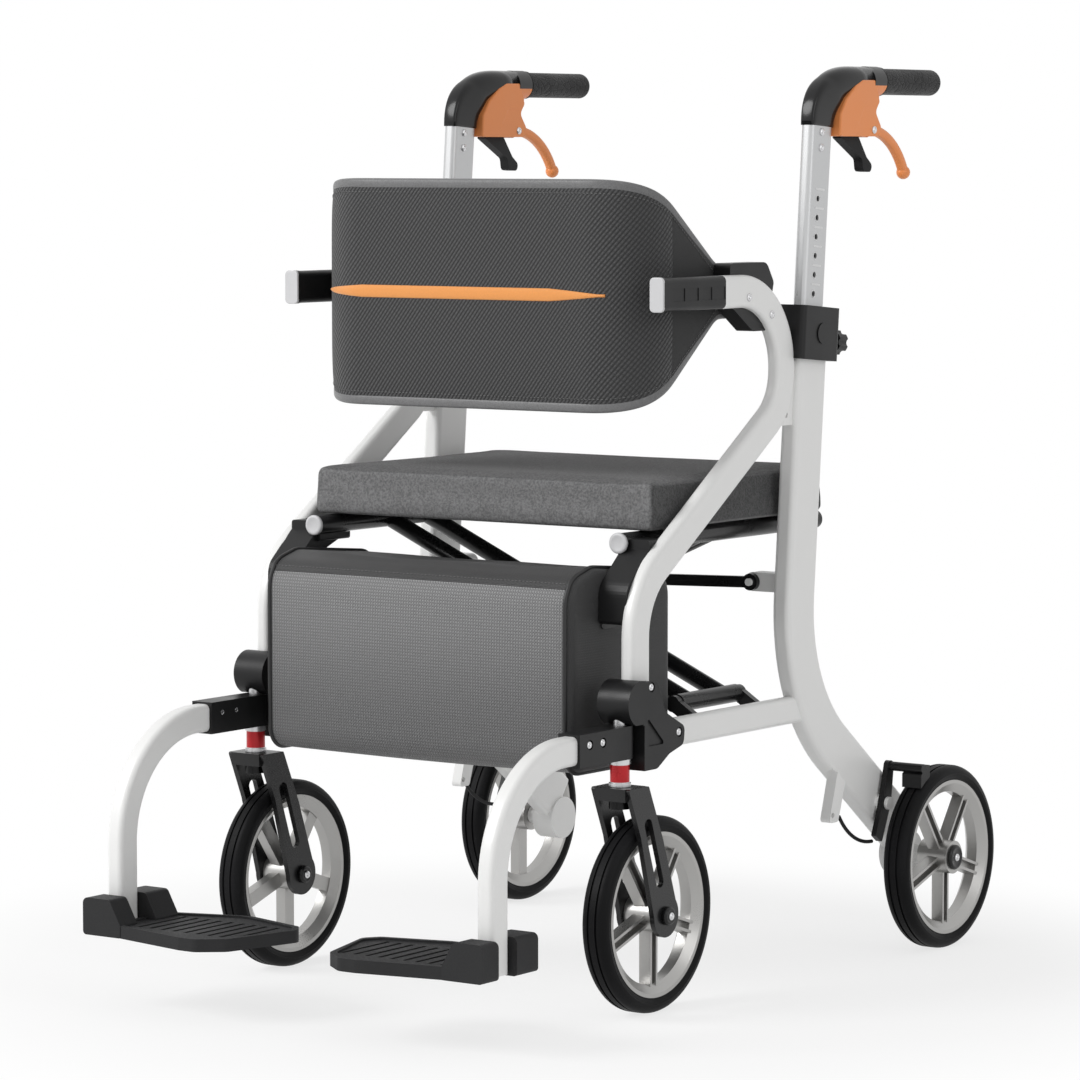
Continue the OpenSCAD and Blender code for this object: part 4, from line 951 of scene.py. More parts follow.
def make_materials(colours):
    """Every material of the chair by its name."""
    black = tuple(colours.plastic)
    steel = tuple(colours.steel)
    powder = {"scale": 1300.0, "tone": 0.02, "strength": 0.1, "distance": 0.0002, "spread": 0.05,
              "Coat_Weight": 0.15, "Coat_Roughness": 0.25}
    moulded = {"scale": 900.0, "tone": 0.06, "strength": 0.15, "distance": 0.0002}
    shadow = (0.0, 0.0, 0.0)
    return {
        "powder": coated("powder_coat", colours.frame, 0.36, **powder),
        "railed": part_painted(coated("powder_coat_railed", colours.frame, 0.36, **powder),
                               black, rail_lugs),
        "silver": coated("handle_anodised", colours.handle, 0.34, metal=0.55, scale=1500.0, tone=0.07,
                         strength=0.08, distance=0.0002, stretch=(1, 1, 0.03)),
        "moulded": coated("black_moulded", black, 0.4, scale=1100.0, tone=0.2, strength=0.25,
                          distance=0.0003, Specular_IOR_Level=0.26),
        "gloss": coated("black_gloss", black, 0.2, scale=500.0, tone=0.2, strength=0.05, distance=0.0002,
                        spread=0.05, Specular_IOR_Level=0.24, Coat_Weight=0.1, Coat_Roughness=0.1),
        "painted": coated("black_painted_tube", black, 0.28, scale=800.0, tone=0.25, strength=0.12,
                          distance=0.0002, Specular_IOR_Level=0.36),
        "soft_black": coated("boot_rubber", tuple(colours.rubber), 0.6, scale=700.0, tone=0.25, strength=0.3,
                             distance=0.0003, Specular_IOR_Level=0.25),
        "orange": coated("orange_moulded", colours.orange, 0.38, **moulded),
        "strapped": part_painted(coated("orange_strapped", colours.orange, 0.38, **moulded),
                                 black, strap_half),
        "rim": coated("cast_rim", colours.rim, 0.34, metal=0.85, scale=700.0, tone=0.1, strength=0.15,
                      distance=0.0003),
        "steel": coated("zinc_steel", steel, 0.28, metal=1.0, scale=1300.0, tone=0.1, strength=0.08,
                        distance=0.0002),
        "light_grey": coated("grey_end_plate", (0.6, 0.6, 0.61), 0.4, scale=900.0, tone=0.05, strength=0.1,
                             distance=0.0002),
        "mark": coated("mark_print", (0.80, 0.80, 0.80), 0.45, scale=900.0),
        "grip": grip_rubber("grip_rubber", colours.rubber),
        "collar": collar_stack("collar_stack", colours.collar, steel),
        "tread": tread_plastic("tread_plastic", toned(black, 1.8)),
        "front_tyre": tyre_rubber("front_tyre_rubber", colours.rubber, FRONT_AXLE),
        "rear_tyre": tyre_rubber("rear_tyre_rubber", colours.rubber, REAR_AXLE),
        # The seat's felt gets painted shade on its sides and top.
        "seat": part_painted(
            felted("seat_felt", colours.seat, dark=0.72, light=1.3, rough=0.85, scale=420.0, strength=0.55,
                   distance=0.0012), shadow, side_top_painted_shade),
        "band": woven("band_knit", "Rib knit", colours.band, dark=0.25, light=1.7, rough=0.72,
                      pitch=3.6 * MM, turn=math.radians(-52), strength=0.9, distance=0.0011),
        # The ends' plain cloth is its own weave, and its darkness is partly painted shade on the band's
        # sides.
        "band_side_shaded": woven("band_plain_cloth_shaded", "Basket weave", colours.band, dark=0.12, light=0.42,
                           rough=0.75, pitch=1.2 * MM, turn=math.radians(10), strength=0.4,
                           distance=0.0004, sheen=0.06, lean=0.22),
        "binding": felted("band_binding", colours.binding, dark=0.85, light=1.15, rough=0.42, scale=900.0,
                          strength=0.15, distance=0.0003),
        "stripe": satin_stitch("band_stripe", colours.stripe),
        "bag_front": part_painted(
            woven("bag_front_weave", "Basket weave", colours.bag_front, dark=0.25, light=1.55, rough=0.6,
                  pitch=2.3 * MM, turn=math.radians(45), strength=0.8, distance=0.0008, lean=0.5),
            shadow, hang_shade),
        "bag_side": woven("bag_side_weave", "Basket weave", colours.bag_side, dark=0.6, light=1.5,
                          rough=0.66, pitch=1.6 * MM, turn=math.radians(8), strength=0.4,
                          distance=0.0004, lean=0.22),
        "bag_flap": woven("bag_flap_weave", "Basket weave", colours.bag_side, dark=0.7, light=1.7,
                          rough=0.6, pitch=2.0 * MM, turn=math.radians(20), strength=0.4,
                          distance=0.0004, sheen=0.1, lean=0.22),
        "piping": coated("bag_piping", black, 0.5, scale=900.0, tone=0.3, strength=0.3, distance=0.0003),
        "thread": coated("thread", (0.12, 0.12, 0.12), 0.6, scale=2500.0, tone=0.3, strength=0.3,
                         distance=0.0002),
    }


NODE_FINISH = {
    "upright": "railed", "arm_tube": "powder", "foot_tube": "powder", "arm_pad": "moulded",
    "band_bracket": "moulded", "height_clamp": "moulded", "clamp_knob": "moulded",
    "front_bracket": "moulded", "stem_post": "collar", "seat_saddle": "moulded", "handle_tube": "silver",
    "handle_elbow": "gloss", "hand_grip": "grip", "brake_housing": "strapped", "cable_boot": "soft_black",
    "brake_lever": "orange", "caster_fork": "painted", "front_axle": "steel", "front_rim": "rim",
    "front_tyre": "front_tyre", "rear_rim": "rim", "rear_tyre": "rear_tyre", "brake_arm": "moulded",
    "brake_cable": "soft_black", "foot_hinge": "moulded", "footplate": "tread", "link_arm": "painted",
    "brace_left": "painted", "brace_right": "painted", "brace_bolt": "steel", "seat_cushion": "seat",
    "back_band": "band", "storage_bag": "bag_side",
}
MATERIALS = {}


class CHAIR_OT_finishes(bpy.types.Operator):
    """Builds the materials and paints every part of the frame"""

    bl_idname = "chair.finishes"
    bl_label = "Finishes"

    def execute(self, context):
        MATERIALS.update(make_materials(settings()[0]))
        for name, node in frame["nodes"].items():
            kind = name.split("_", 1)[1] if name.startswith(("left_", "right_")) else name
            node.data.materials.clear()
            node.data.materials.append(MATERIALS[NODE_FINISH[kind]])
        return {"FINISHED"}


# Seat cushion

SWELL_FRAMES = 20
SWELL_PRESSURE = 4.0
# How far the foam block's edges are bevelled
SEAT_EDGE = 3 * MM
# How far the foam's sides draw in between the corners, and its top edges sink
SEAT_DRAW = 1.5 * MM


def swollen(piece, pressure, cap, pinned):
    """Lets the cover swell like filled cloth, but no point further than the cap."""
    scene = bpy.context.scene
    rest = np.array([v.co for v in piece.data.vertices], float)
    held = piece.vertex_groups.new(name="held")
    held.add(pinned, 1.0, "REPLACE")
    cloth = piece.modifiers.new("Swell", "CLOTH")
    cloth.settings.quality = 5
    cloth.settings.mass = 0.3
    cloth.settings.tension_stiffness = 18
    cloth.settings.compression_stiffness = 18
    cloth.settings.bending_stiffness = 2
    cloth.settings.use_pressure = True
    cloth.settings.uniform_pressure_force = pressure
    cloth.settings.vertex_group_mass = held.name
    cloth.settings.effector_weights.gravity = 0
    for step in range(1, SWELL_FRAMES + 1):
        scene.frame_set(step)
    graph = bpy.context.evaluated_depsgraph_get()
    blown = piece.evaluated_get(graph).to_mesh()
    moved = np.array([v.co for v in blown.vertices], float) - rest
    piece.evaluated_get(graph).to_mesh_clear()
    far = np.linalg.norm(moved, axis=1, keepdims=True) + 1e-9
    rest += moved / far * cap * np.tanh(far / cap)
    piece.modifiers.remove(cloth)
    scene.frame_set(1)
    piece.data.vertices.foreach_set("co", rest.astype(np.float32).ravel())
    piece.data.update()


class CHAIR_OT_seat(bpy.types.Operator):
    """The felted foam cushion on the seat rails"""

    bl_idname = "chair.seat"
    bl_label = "Seat cushion"

    def execute(self, context):
        sizes = settings()[1]
        low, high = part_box("seat_cushion")
        swell = sizes.seat_swell
        block = self.block(low, high, swell, sizes.seat_voxel)
        bottom = [v.index for v in block.data.vertices if v.co.z < low.z + 2 * MM]
        swollen(block, SWELL_PRESSURE, swell, bottom)
        smooth = block.modifiers.new("Smooth", "SUBSURF")
        smooth.levels = 1
        smooth.render_levels = 1
        block.name = "seat_pad"
        block.data.name = "seat_pad"
        for face in block.data.polygons:
            face.use_smooth = True
        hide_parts("seat_cushion")
        dress(block, MATERIALS["seat"], "seat")
        settle(block)
        return {"FINISHED"}

    def block(self, low, high, swell, voxel):
        """Foam block with soft edges, crowned on top and drawn in between its corners."""
        inset = Vector((swell * 0.5, swell * 0.5, 0))
        first = low + inset
        last = high - inset - Vector((0, 0, swell * 0.5))
        work = bmesh.new()
        bmesh.ops.create_cube(work, size=1.0)
        size = last - first
        middle = (first + last) / 2
        stretch = Matrix.Translation(middle) @ Matrix.Diagonal((*size, 1))
        bmesh.ops.transform(work, matrix=stretch, verts=work.verts)
        bmesh.ops.bevel(work, geom=work.edges[:], offset=SEAT_EDGE, segments=3, profile=0.5, affect="EDGES")
        rough = add_object("block", mesh_from(work, "block"))
        remesh = rough.modifiers.new("Voxels", "REMESH")
        remesh.mode = "VOXEL"
        remesh.voxel_size = voxel
        fine = evaluated_mesh(rough)
        bpy.data.objects.remove(rough)
        co = np.array([v.co for v in fine.vertices], float)
        u = (co[:, 0] - middle.x) / (size.x / 2)
        v = (co[:, 1] - middle.y) / (size.y / 2)
        up = np.clip((co[:, 2] - first.z) / size.z, 0, 1)
        co[:, 0] -= np.sign(u) * SEAT_DRAW * (1 - v * v) * np.abs(u) ** 6
        co[:, 1] -= np.sign(v) * SEAT_DRAW * (1 - u * u) * np.abs(v) ** 6
        co[:, 2] -= SEAT_DRAW * up * np.clip(u ** 8 + v ** 8, 0, 1)
        fine.vertices.foreach_set("co", co.astype(np.float32).ravel())
        fine.update()
        return add_object("block", fine)


# Back band

BAND_SIDE = 210.9 * MM
BAND_FRONT = -238 * MM + MID_Y
BAND_BEND = 68 * MM
BAND_Z = 717 * MM
BAND_HALF = 120 * MM
# Padding and tape draw the lower edge up by this much
BAND_LIFT = 6 * MM
PIVOT_Y = -62 * MM + MID_Y
PIVOT_Z = 722 * MM
TAB_HALF = 26 * MM
BAND_END = PIVOT_Y + 20 * MM
BAND_STEP = 4 * MM
# Recess in the outer skin that leaves room for the pivot
RECESS_DEEP, RECESS_REACH, RECESS_EDGE = 6.4 * MM, 10 * MM, 3 * MM
# The tape hugs the band's thinner rim, stands proud of its skin and reaches past its edge
RIM_SHARE, TAPE_PROUD, TAPE_PAST = 0.62, 1.2 * MM, 2.2 * MM
# The plain stripe: its height and how far it runs to each side of the middle
STRIPE_Z = 721 * MM
STRIPE_RIGHT, STRIPE_LEFT = 200 * MM, 166 * MM
# Share of its half length over which it narrows, and the share of its width left at the tips
STRIPE_TAPER, STRIPE_TIP = 0.35, 0.12
# How far its edges stand above the skin, what its middle adds, and how deep it is sewn in
STRIPE_EDGE, STRIPE_CROWN, STRIPE_SUNK = 0.3 * MM, 0.9 * MM, 0.4 * MM
# The knitted panel stops this far from the band's ends, where plain cloth, darkened with painted shade, takes
# over
PANEL_END = 134 * MM


class BandForm:
    """The padded band as a surface: s runs along its plan, v from its lower to its upper edge."""

    def __init__(self, thick):
        self.half_thick = thick / 2
        side = BAND_SIDE - self.half_thick
        front = BAND_FRONT + self.half_thick
        bend = BAND_BEND - self.half_thick
        corners = [(-side, BAND_END, 0), (-side, front, bend), (side, front, bend), (side, BAND_END, 0)]
        self.line = resampled(rounded(corners, 32), BAND_STEP)
        way = tangents(self.line)
        self.out = np.stack([way[:, 1], -way[:, 0]], axis=1)
        steps = np.linalg.norm(np.diff(self.line, axis=0), axis=1)
        self.s = np.concatenate([[0], np.cumsum(steps)])
        self.length = self.s[-1]
        self.upper = self.edge(BAND_Z + BAND_HALF, PIVOT_Z + TAB_HALF)
        self.lower = self.edge(BAND_Z - BAND_HALF + BAND_LIFT, PIVOT_Z - TAB_HALF)

    def edge(self, wide, narrow):
        """Height of one edge against Y: level in front, then a full curve down to the tab at the pivot."""
        corners = [(BAND_FRONT - 8 * MM, wide, 0), (BAND_FRONT + 32 * MM, wide, 110 * MM),
                   (PIVOT_Y - 27 * MM, narrow, 18 * MM), (BAND_END, narrow, 12 * MM), (BAND_END, PIVOT_Z, 0)]
        return np.array([tuple(p) for p in rounded(corners)[:-1]])

    def edges_at(self, y):
        """Middle height and half height of the band at a place along Y."""
        top = np.interp(y, self.upper[:, 0], self.upper[:, 1])
        low = np.interp(y, self.lower[:, 0], self.lower[:, 1])
        return (top + low) / 2, (top - low) / 2

    def at(self, s, v, raise_by=0.0, face=1):
        """Point on the outer (face 1) or inner (face -1) skin, raised along its normal."""
        x = np.interp(s, self.s, self.line[:, 0])
        y = np.interp(s, self.s, self.line[:, 1])
        nx = np.interp(s, self.s, self.out[:, 0])
        ny = np.interp(s, self.s, self.out[:, 1])
        level, half = self.edges_at(y)
        z = level + v * half
        reach = self.half_thick * (1 - 0.45 * np.abs(v) ** 6)
        if face > 0:
            near = np.hypot(y - PIVOT_Y, z - PIVOT_Z)
            reach = reach - RECESS_DEEP * np.clip((RECESS_REACH - near) / RECESS_EDGE, 0, 1)
        reach = face * (reach + raise_by)
        return np.stack([x + nx * reach, y + ny * reach, z + 0 * x], axis=-1)

    def middle(self, s, v):
        """Point halfway through the band."""
        return (self.at(s, v, 0, 1) + self.at(s, v, 0, -1)) / 2

    def heights(self, s):
        """Middle height and half height at a place along the band."""
        return self.edges_at(np.interp(s, self.s, self.line[:, 1]))


class CHAIR_OT_band(bpy.types.Operator):
    """The padded back band with its bound edges and a plain stripe"""

    bl_idname = "chair.band"
    bl_label = "Back band"

    def execute(self, context):
        sizes = settings()[1]
        form = BandForm(sizes.band_thick)
        pad = self.pad(form)
        tape = self.tape(form, sizes.band_tape)
        stripe = self.stripe(form, sizes.stripe_wide)
        seam = self.seam(form, sizes.band_tape)
        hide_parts("back_band")
        for piece in (pad, tape, stripe, seam):
            settle(piece)
        return {"FINISHED"}

    def pad(self, form):
        """The padding with its skin: knit in front, plain cloth towards the ends, darker there as painted
        shade on the band's sides.
        """
        rows = np.sin(np.linspace(-1, 1, 65) * math.pi / 2)
        s, v = np.meshgrid(form.s, rows, indexing="ij")
        outer = form.at(s, v).reshape(-1, 3)
        inner = form.at(s, v, 0, -1).reshape(-1, 3)
        mesh = mesh_of("band_pad", np.vstack([outer, inner]), slab_faces(*s.shape))
        self.lay_flat(mesh, form)
        pad = dress(add_object("band_pad", mesh), MATERIALS["band"], "backrest")
        mesh.materials.append(MATERIALS["band_side_shaded"])
        layer = mesh.uv_layers["cloth"]
        for face in mesh.polygons:
            along = layer.data[face.loop_start].uv.x
            face.material_index = int(min(along, form.length - along) < PANEL_END)
        return pad

    def lay_flat(self, mesh, form):
        """Cloth coordinates: length along the band's plan and height."""
        co = np.array([v.co for v in mesh.vertices], float)
        gaps = np.linalg.norm(co[:, None, :2] - form.line[None, :, :], axis=2)
        near = np.argmin(gaps, axis=1)
        way = tangents(form.line)[near]
        along = form.s[near] + np.sum((co[:, :2] - form.line[near]) * way, axis=1)
        layer = mesh.uv_layers.new(name="cloth")
        for loop in mesh.loops:
            layer.data[loop.index].uv = (along[loop.vertex_index], co[loop.vertex_index, 2])

    def tape(self, form, wide):
        """Tape folded over the whole edge."""
        turn = np.linspace(0.7, -0.7, 5)
        s = np.concatenate([form.s, np.full(len(turn), form.length), form.s[::-1], np.zeros(len(turn))])
        level = np.ones(len(form.s))
        v = np.concatenate([level, turn, -level, -turn])
        middle = form.middle(s, v)
        edge = resampled(middle, BAND_STEP, closed=True)
        for _ in range(3):
            edge = (np.roll(edge, 1, axis=0) + 2 * edge + np.roll(edge, -1, axis=0)) / 4
        near = np.array([np.argmin(np.linalg.norm(form.line - p[:2], axis=1)) for p in edge])
        out = np.concatenate([form.out[near], np.zeros((len(edge), 1))], axis=1)
        way = tangents(edge, closed=True)
        inward = np.cross(out, way)
        inward /= np.linalg.norm(inward, axis=1, keepdims=True)
        heart = form.middle(form.s[near], np.zeros(len(edge)))
        flip = np.sign(np.sum((heart - edge) * inward, axis=1))
        inward *= np.where(flip == 0, 1, flip)[:, None]
        thick = form.half_thick * RIM_SHARE + TAPE_PROUD
        around = 20
        points = []
        for p, n, b in zip(edge, out, inward):
            centre = p + b * (wide / 2 - TAPE_PAST)
            for k in range(around):
                angle = 2 * math.pi * k / around
                across = bowed(math.cos(angle), 0.6) * wide / 2
                through = bowed(math.sin(angle), 0.6) * thick
                points.append(centre + b * across + n * through)
        faces = grid_faces(len(edge), around, wrap_rows=True, wrap_columns=True)
        mesh = mesh_of("band_tape", points, faces)
        return dress(add_object("band_tape", mesh), MATERIALS["binding"], "backrest")

    def seam(self, form, wide):
        """Row of stitches beside the tape on the outer skin."""
        clear = 40 * MM
        s = form.s[(form.s > clear) & (form.s < form.length - clear)]
        share = 1 - (wide + 1.0 * MM) / form.heights(s)[1]
        lines = [form.at(s, side * share, 0.3 * MM) for side in (1, -1)]
        base = line_object(lines)
        piece = grown("band_stitches", base, "Stitches along a line", Pitch=4.5 * MM, Thread=0.5 * MM,
                      Material=MATERIALS["thread"])
        return dress(piece, None, "backrest")

    def stripe(self, form, wide):
        """A plain sewn stripe across the front."""
        middle = form.length / 2
        s = np.linspace(middle - STRIPE_RIGHT, middle + STRIPE_LEFT, 150)
        t = np.linspace(-1, 1, len(s))
        half = wide / 2 * np.clip((1 - np.abs(t)) / STRIPE_TAPER, STRIPE_TIP, 1) ** 0.7
        rows = np.linspace(-1, 1, 9)
        raised = STRIPE_EDGE + STRIPE_CROWN * (1 - rows ** 2)
        sunk = np.full(len(rows), -STRIPE_SUNK)
        points = []
        for lift in (raised, sunk):
            for si, hi in zip(s, half):
                level, half_tall = form.heights(si)
                v = (STRIPE_Z + rows * hi - level) / half_tall
                points.append(form.at(np.full(len(rows), si), v, lift))
        points = np.array(points).reshape(-1, 3)
        mesh = mesh_of("band_stripe", points, slab_faces(len(s), len(rows)))
        self.lay_flat(mesh, form)
        return dress(add_object("band_stripe", mesh), MATERIALS["stripe"], "backrest")


# Storage bag

# How far below the bag's top the flap's front edge lies
FLAP_EDGE = 16 * MM
# Radius of the rolled edges between the bag's front and its sides
BAG_ROLL = 8 * MM
# How far the back swells, the top sinks and its slack folds rise
BAG_BACK, BAG_SINK, BAG_FOLD = 3 * MM, 4 * MM, 1.2 * MM
# The flap's thickness and how far its front edge takes to rise to it
FLAP_THICK, FLAP_RISE = 1.4 * MM, 3 * MM
# The woven front reaches this far round into the bottom
FRONT_WRAP = 28 * MM
# How far the piping and the ends of the flap's seam lie in from the bag's sides
PIPING_IN, SEAM_IN = 7 * MM, 9 * MM
SLOT_Y, SLOT_Z = -262 * MM + MID_Y, 393 * MM


class CHAIR_OT_bag(bpy.types.Operator):
    """The hanging bag: woven front, darker flap and sides, piping and hook slots"""

    bl_idname = "chair.bag"
    bl_label = "Storage bag"

    def execute(self, context):
        low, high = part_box("storage_bag")
        self.low = low
        self.high = high
        self.sizes = settings()[1]
        self.line = resampled(self.outline(), 5 * MM, closed=True)
        way = tangents(self.line, closed=True)
        self.out = np.stack([way[:, 1], -way[:, 0]], axis=1)
        heart = self.line.mean(axis=0)
        if np.sum((self.line - heart) * self.out) < 0:
            self.out = -self.out
        steps = np.linalg.norm(np.roll(self.line, -1, axis=0) - self.line, axis=1)
        self.along = np.concatenate([[0], np.cumsum(steps)[:-1]])
        shell = self.shell()
        beads = self.beads()
        slots = self.slots()
        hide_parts("storage_bag")
        for piece in [shell, *beads, slots]:
            settle(piece)
        return {"FINISHED"}

    def outline(self):
        """Side view of the bag with its rolled edges, as (y, z)."""
        front, back = self.low.y, self.high.y
        floor, top = self.low.z, self.high.z
        return rounded([(front, floor, 22 * MM), (back, floor, 20 * MM), (back, top - 12 * MM, 26 * MM),
                        (front + 44 * MM, top, 24 * MM), (front, top - 12 * MM, 30 * MM)])

    def ring(self, x, inset):
        """One slice across the bag, with its bulging front, sagging floor and slack top."""
        half = self.high.x
        span = 1 - (x / half) ** 2
        y, z = self.line[:, 0], self.line[:, 1]
        up = (z - self.low.z) / (self.high.z - self.low.z)
        deep = (y - self.low.y) / (self.high.y - self.low.y)
        wall = np.clip(np.sin(np.pi * np.clip(up, 0, 1)), 0, 1)
        level = np.clip(np.sin(np.pi * np.clip(deep, 0, 1)), 0, 1)
        front = np.clip(-self.out[:, 0], 0, 1) ** 2
        back = np.clip(self.out[:, 0], 0, 1) ** 2
        under = np.clip(-self.out[:, 1], 0, 1) ** 2
        over = np.clip(self.out[:, 1], 0, 1) ** 2
        fold = BAG_FOLD * np.sin(x * 38.0 + 1.0)
        move = span * (self.sizes.bag_bulge * front * wall + BAG_BACK * back * wall
                       + self.sizes.bag_sag * under * level - (BAG_SINK - fold) * over * level)
        move = move + FLAP_THICK * self.flap_share() - inset
        return np.stack([np.full(len(y), x), y + self.out[:, 0] * move, z + self.out[:, 1] * move], axis=1)

    def flap_share(self):
        """One on the flap, none below its front edge."""
        return np.clip((self.line[:, 1] - (self.high.z - FLAP_EDGE)) / FLAP_RISE, 0, 1)

    def stations(self):
        """Places across the bag and how far each slice is drawn in by the rounded side edges."""
        half = self.high.x
        edge = BAG_ROLL
        turn = [(half - edge + edge * math.sin(a), edge * (1 - math.cos(a)))
                for a in np.linspace(0, math.pi / 2, 6)]
        inner = [(x, 0.0) for x in np.linspace(-(half - edge), half - edge, 60)[1:-1]]
        return [(-x, d) for x, d in reversed(turn)] + inner + turn

    def shell(self):
        """The closed bag: slices joined into a skin, with sides that draw in a little."""
        rings = [self.ring(x, inset) for x, inset in self.stations()]
        count = len(self.line)
        points = list(np.vstack(rings))
        faces = grid_faces(len(rings), count, wrap_columns=True)
        for ring, start, side in ((rings[0], 0, -1), (rings[-1], (len(rings) - 1) * count, 1)):
            heart = ring.mean(axis=0)
            before = start
            for share in (0.94, 0.8, 0.6, 0.35, 0.12):
                first = len(points)
                hollow = 2.5 * MM * (1 - share)
                for p in ring:
                    q = heart + (p - heart) * share
                    points.append(q - np.array([side * hollow, 0, 0]))
                faces += [(before + k, before + (k + 1) % count, first + (k + 1) % count, first + k)
                          for k in range(count)]
                before = first
            faces.append(tuple(range(before, before + count)))
        mesh = mesh_of("bag_shell", points, faces)
        self.panels(mesh)
        shell = add_object("bag_shell", mesh)
        dress(shell, None, "left_frame")
        return shell

    def panels(self, mesh):
        """Gives the front, the flap and the rest their cloth and lays each flat."""
        for name in ("bag_front", "bag_flap", "bag_side"):
            mesh.materials.append(MATERIALS[name])
        front, flap, rest = range(3)
        layer = mesh.uv_layers.new(name="cloth")
        edge = self.high.x - BAG_ROLL
        for face in mesh.polygons:
            c = face.center
            if abs(c.x) > edge:
                face.material_index = rest
            elif c.z > self.high.z - FLAP_EDGE:
                face.material_index = flap
            elif c.y < self.low.y + FRONT_WRAP:
                face.material_index = front
            else:
                face.material_index = rest
            sideways = abs(face.normal.x) > 0.7
            for index in face.loop_indices:
                p = mesh.vertices[mesh.loops[index].vertex_index].co
                if sideways:
                    layer.data[index].uv = (p.y, p.z)
                elif abs(face.normal.z) > 0.7:
                    layer.data[index].uv = (p.x, p.y)
                else:
                    layer.data[index].uv = (p.x, p.z)

    def beads(self):
        """Piping round both sides and the seam under the flap's front edge."""
        radius = self.sizes.piping
        lines = []
        for side in (-1, 1):
            x = side * (self.high.x - PIPING_IN)
            ring = self.ring(x, 0.0)
            lines.append(ring + np.concatenate([np.zeros((len(ring), 1)), self.out * 0.5 * MM], axis=1))
        piping = grown("bag_piping", line_object(lines, closed=True), "Bead along a line", Radius=radius,
                       Step=4 * MM, Material=MATERIALS["piping"])
        fronts = [k for k in range(len(self.line)) if self.out[k, 0] < -0.3]
        level = self.high.z - FLAP_EDGE
        pick = min(fronts, key=lambda k: abs(self.line[k, 1] - level))
        xs = np.linspace(-(self.high.x - SEAM_IN), self.high.x - SEAM_IN, 60)
        seam_line = np.array([self.ring(x, 0.6 * MM)[pick] for x in xs])
        seam = grown("bag_seam", line_object([seam_line]), "Bead along a line", Radius=1.3 * MM, Step=5 * MM,
                     Material=MATERIALS["piping"])
        stitch_line = np.array([self.ring(x, -0.2 * MM)[pick + self.upward(pick)] for x in xs])
        stitch = grown("bag_stitches", line_object([stitch_line]), "Stitches along a line", Pitch=4.5 * MM,
                       Thread=0.5 * MM, Material=MATERIALS["thread"])
        for piece in (piping, seam, stitch):
            dress(piece, None, "left_frame")
        return [piping, seam, stitch]

    def upward(self, pick):
        """Step along the outline that goes up the front."""
        return 1 if self.line[(pick + 1) % len(self.line), 1] > self.line[pick, 1] else -1

    def slots(self):
        """Bound slots in the side panels where the saddle hooks go in."""
        work = bmesh.new()
        for side in (-1, 1):
            outline = rounded_box(15 * MM, 5 * MM, 4.9 * MM)
            base = Vector((side * (self.high.x - 1.2 * MM), SLOT_Y, SLOT_Z))
            part = plate("slot", outline, base, (0, side, 0), (0, 0, 1), 1.5 * MM, 0.5 * MM)
            work.from_mesh(part)
        slots = add_object("bag_slots", mesh_from(work, "bag_slots"))
        return dress(slots, MATERIALS["piping"], "left_frame")


# Handle elbows, in millimetres

# Outer and inner edge of the elbow: centre (y, z), reach, rise and fullness of the curve
ELBOW_OUTER = ((131.0, 894.0), 84.6, 62.0, 2.3)
ELBOW_INNER = ((146.0, 891.0), 57.2, 35.0, 2.0)
ELBOW_END = 164.0
# Half width at the tube and how much wider it gets at the grip
ELBOW_HALF, ELBOW_GROWS = 8.6, 6.0
# Fullness of the section at the tube, where it is flat-sided, and how much it loses towards the grip
ELBOW_FULL, ELBOW_EASES = 8.0, 5.6
CHEEK_HALF, CHEEK_EDGE = 15.3, 2.0
# Outline of the cheek from the tube's side over the top and back: (y, z, radius)
CHEEK_CORNERS = [
    (89.6, 882.0, 2.0), (91.5, 906.0, 8.0), (104.0, 922.5, 10.0), (122.0, 936.0, 10.0),
    (136.0, 942.0, 4.0), (162.0, 942.0, 3.0), (170.0, 926.0, 4.0), (170.0, 916.0, 2.0),
    (140.0, 912.0, 4.0), (118.0, 882.0, 2.0),
]


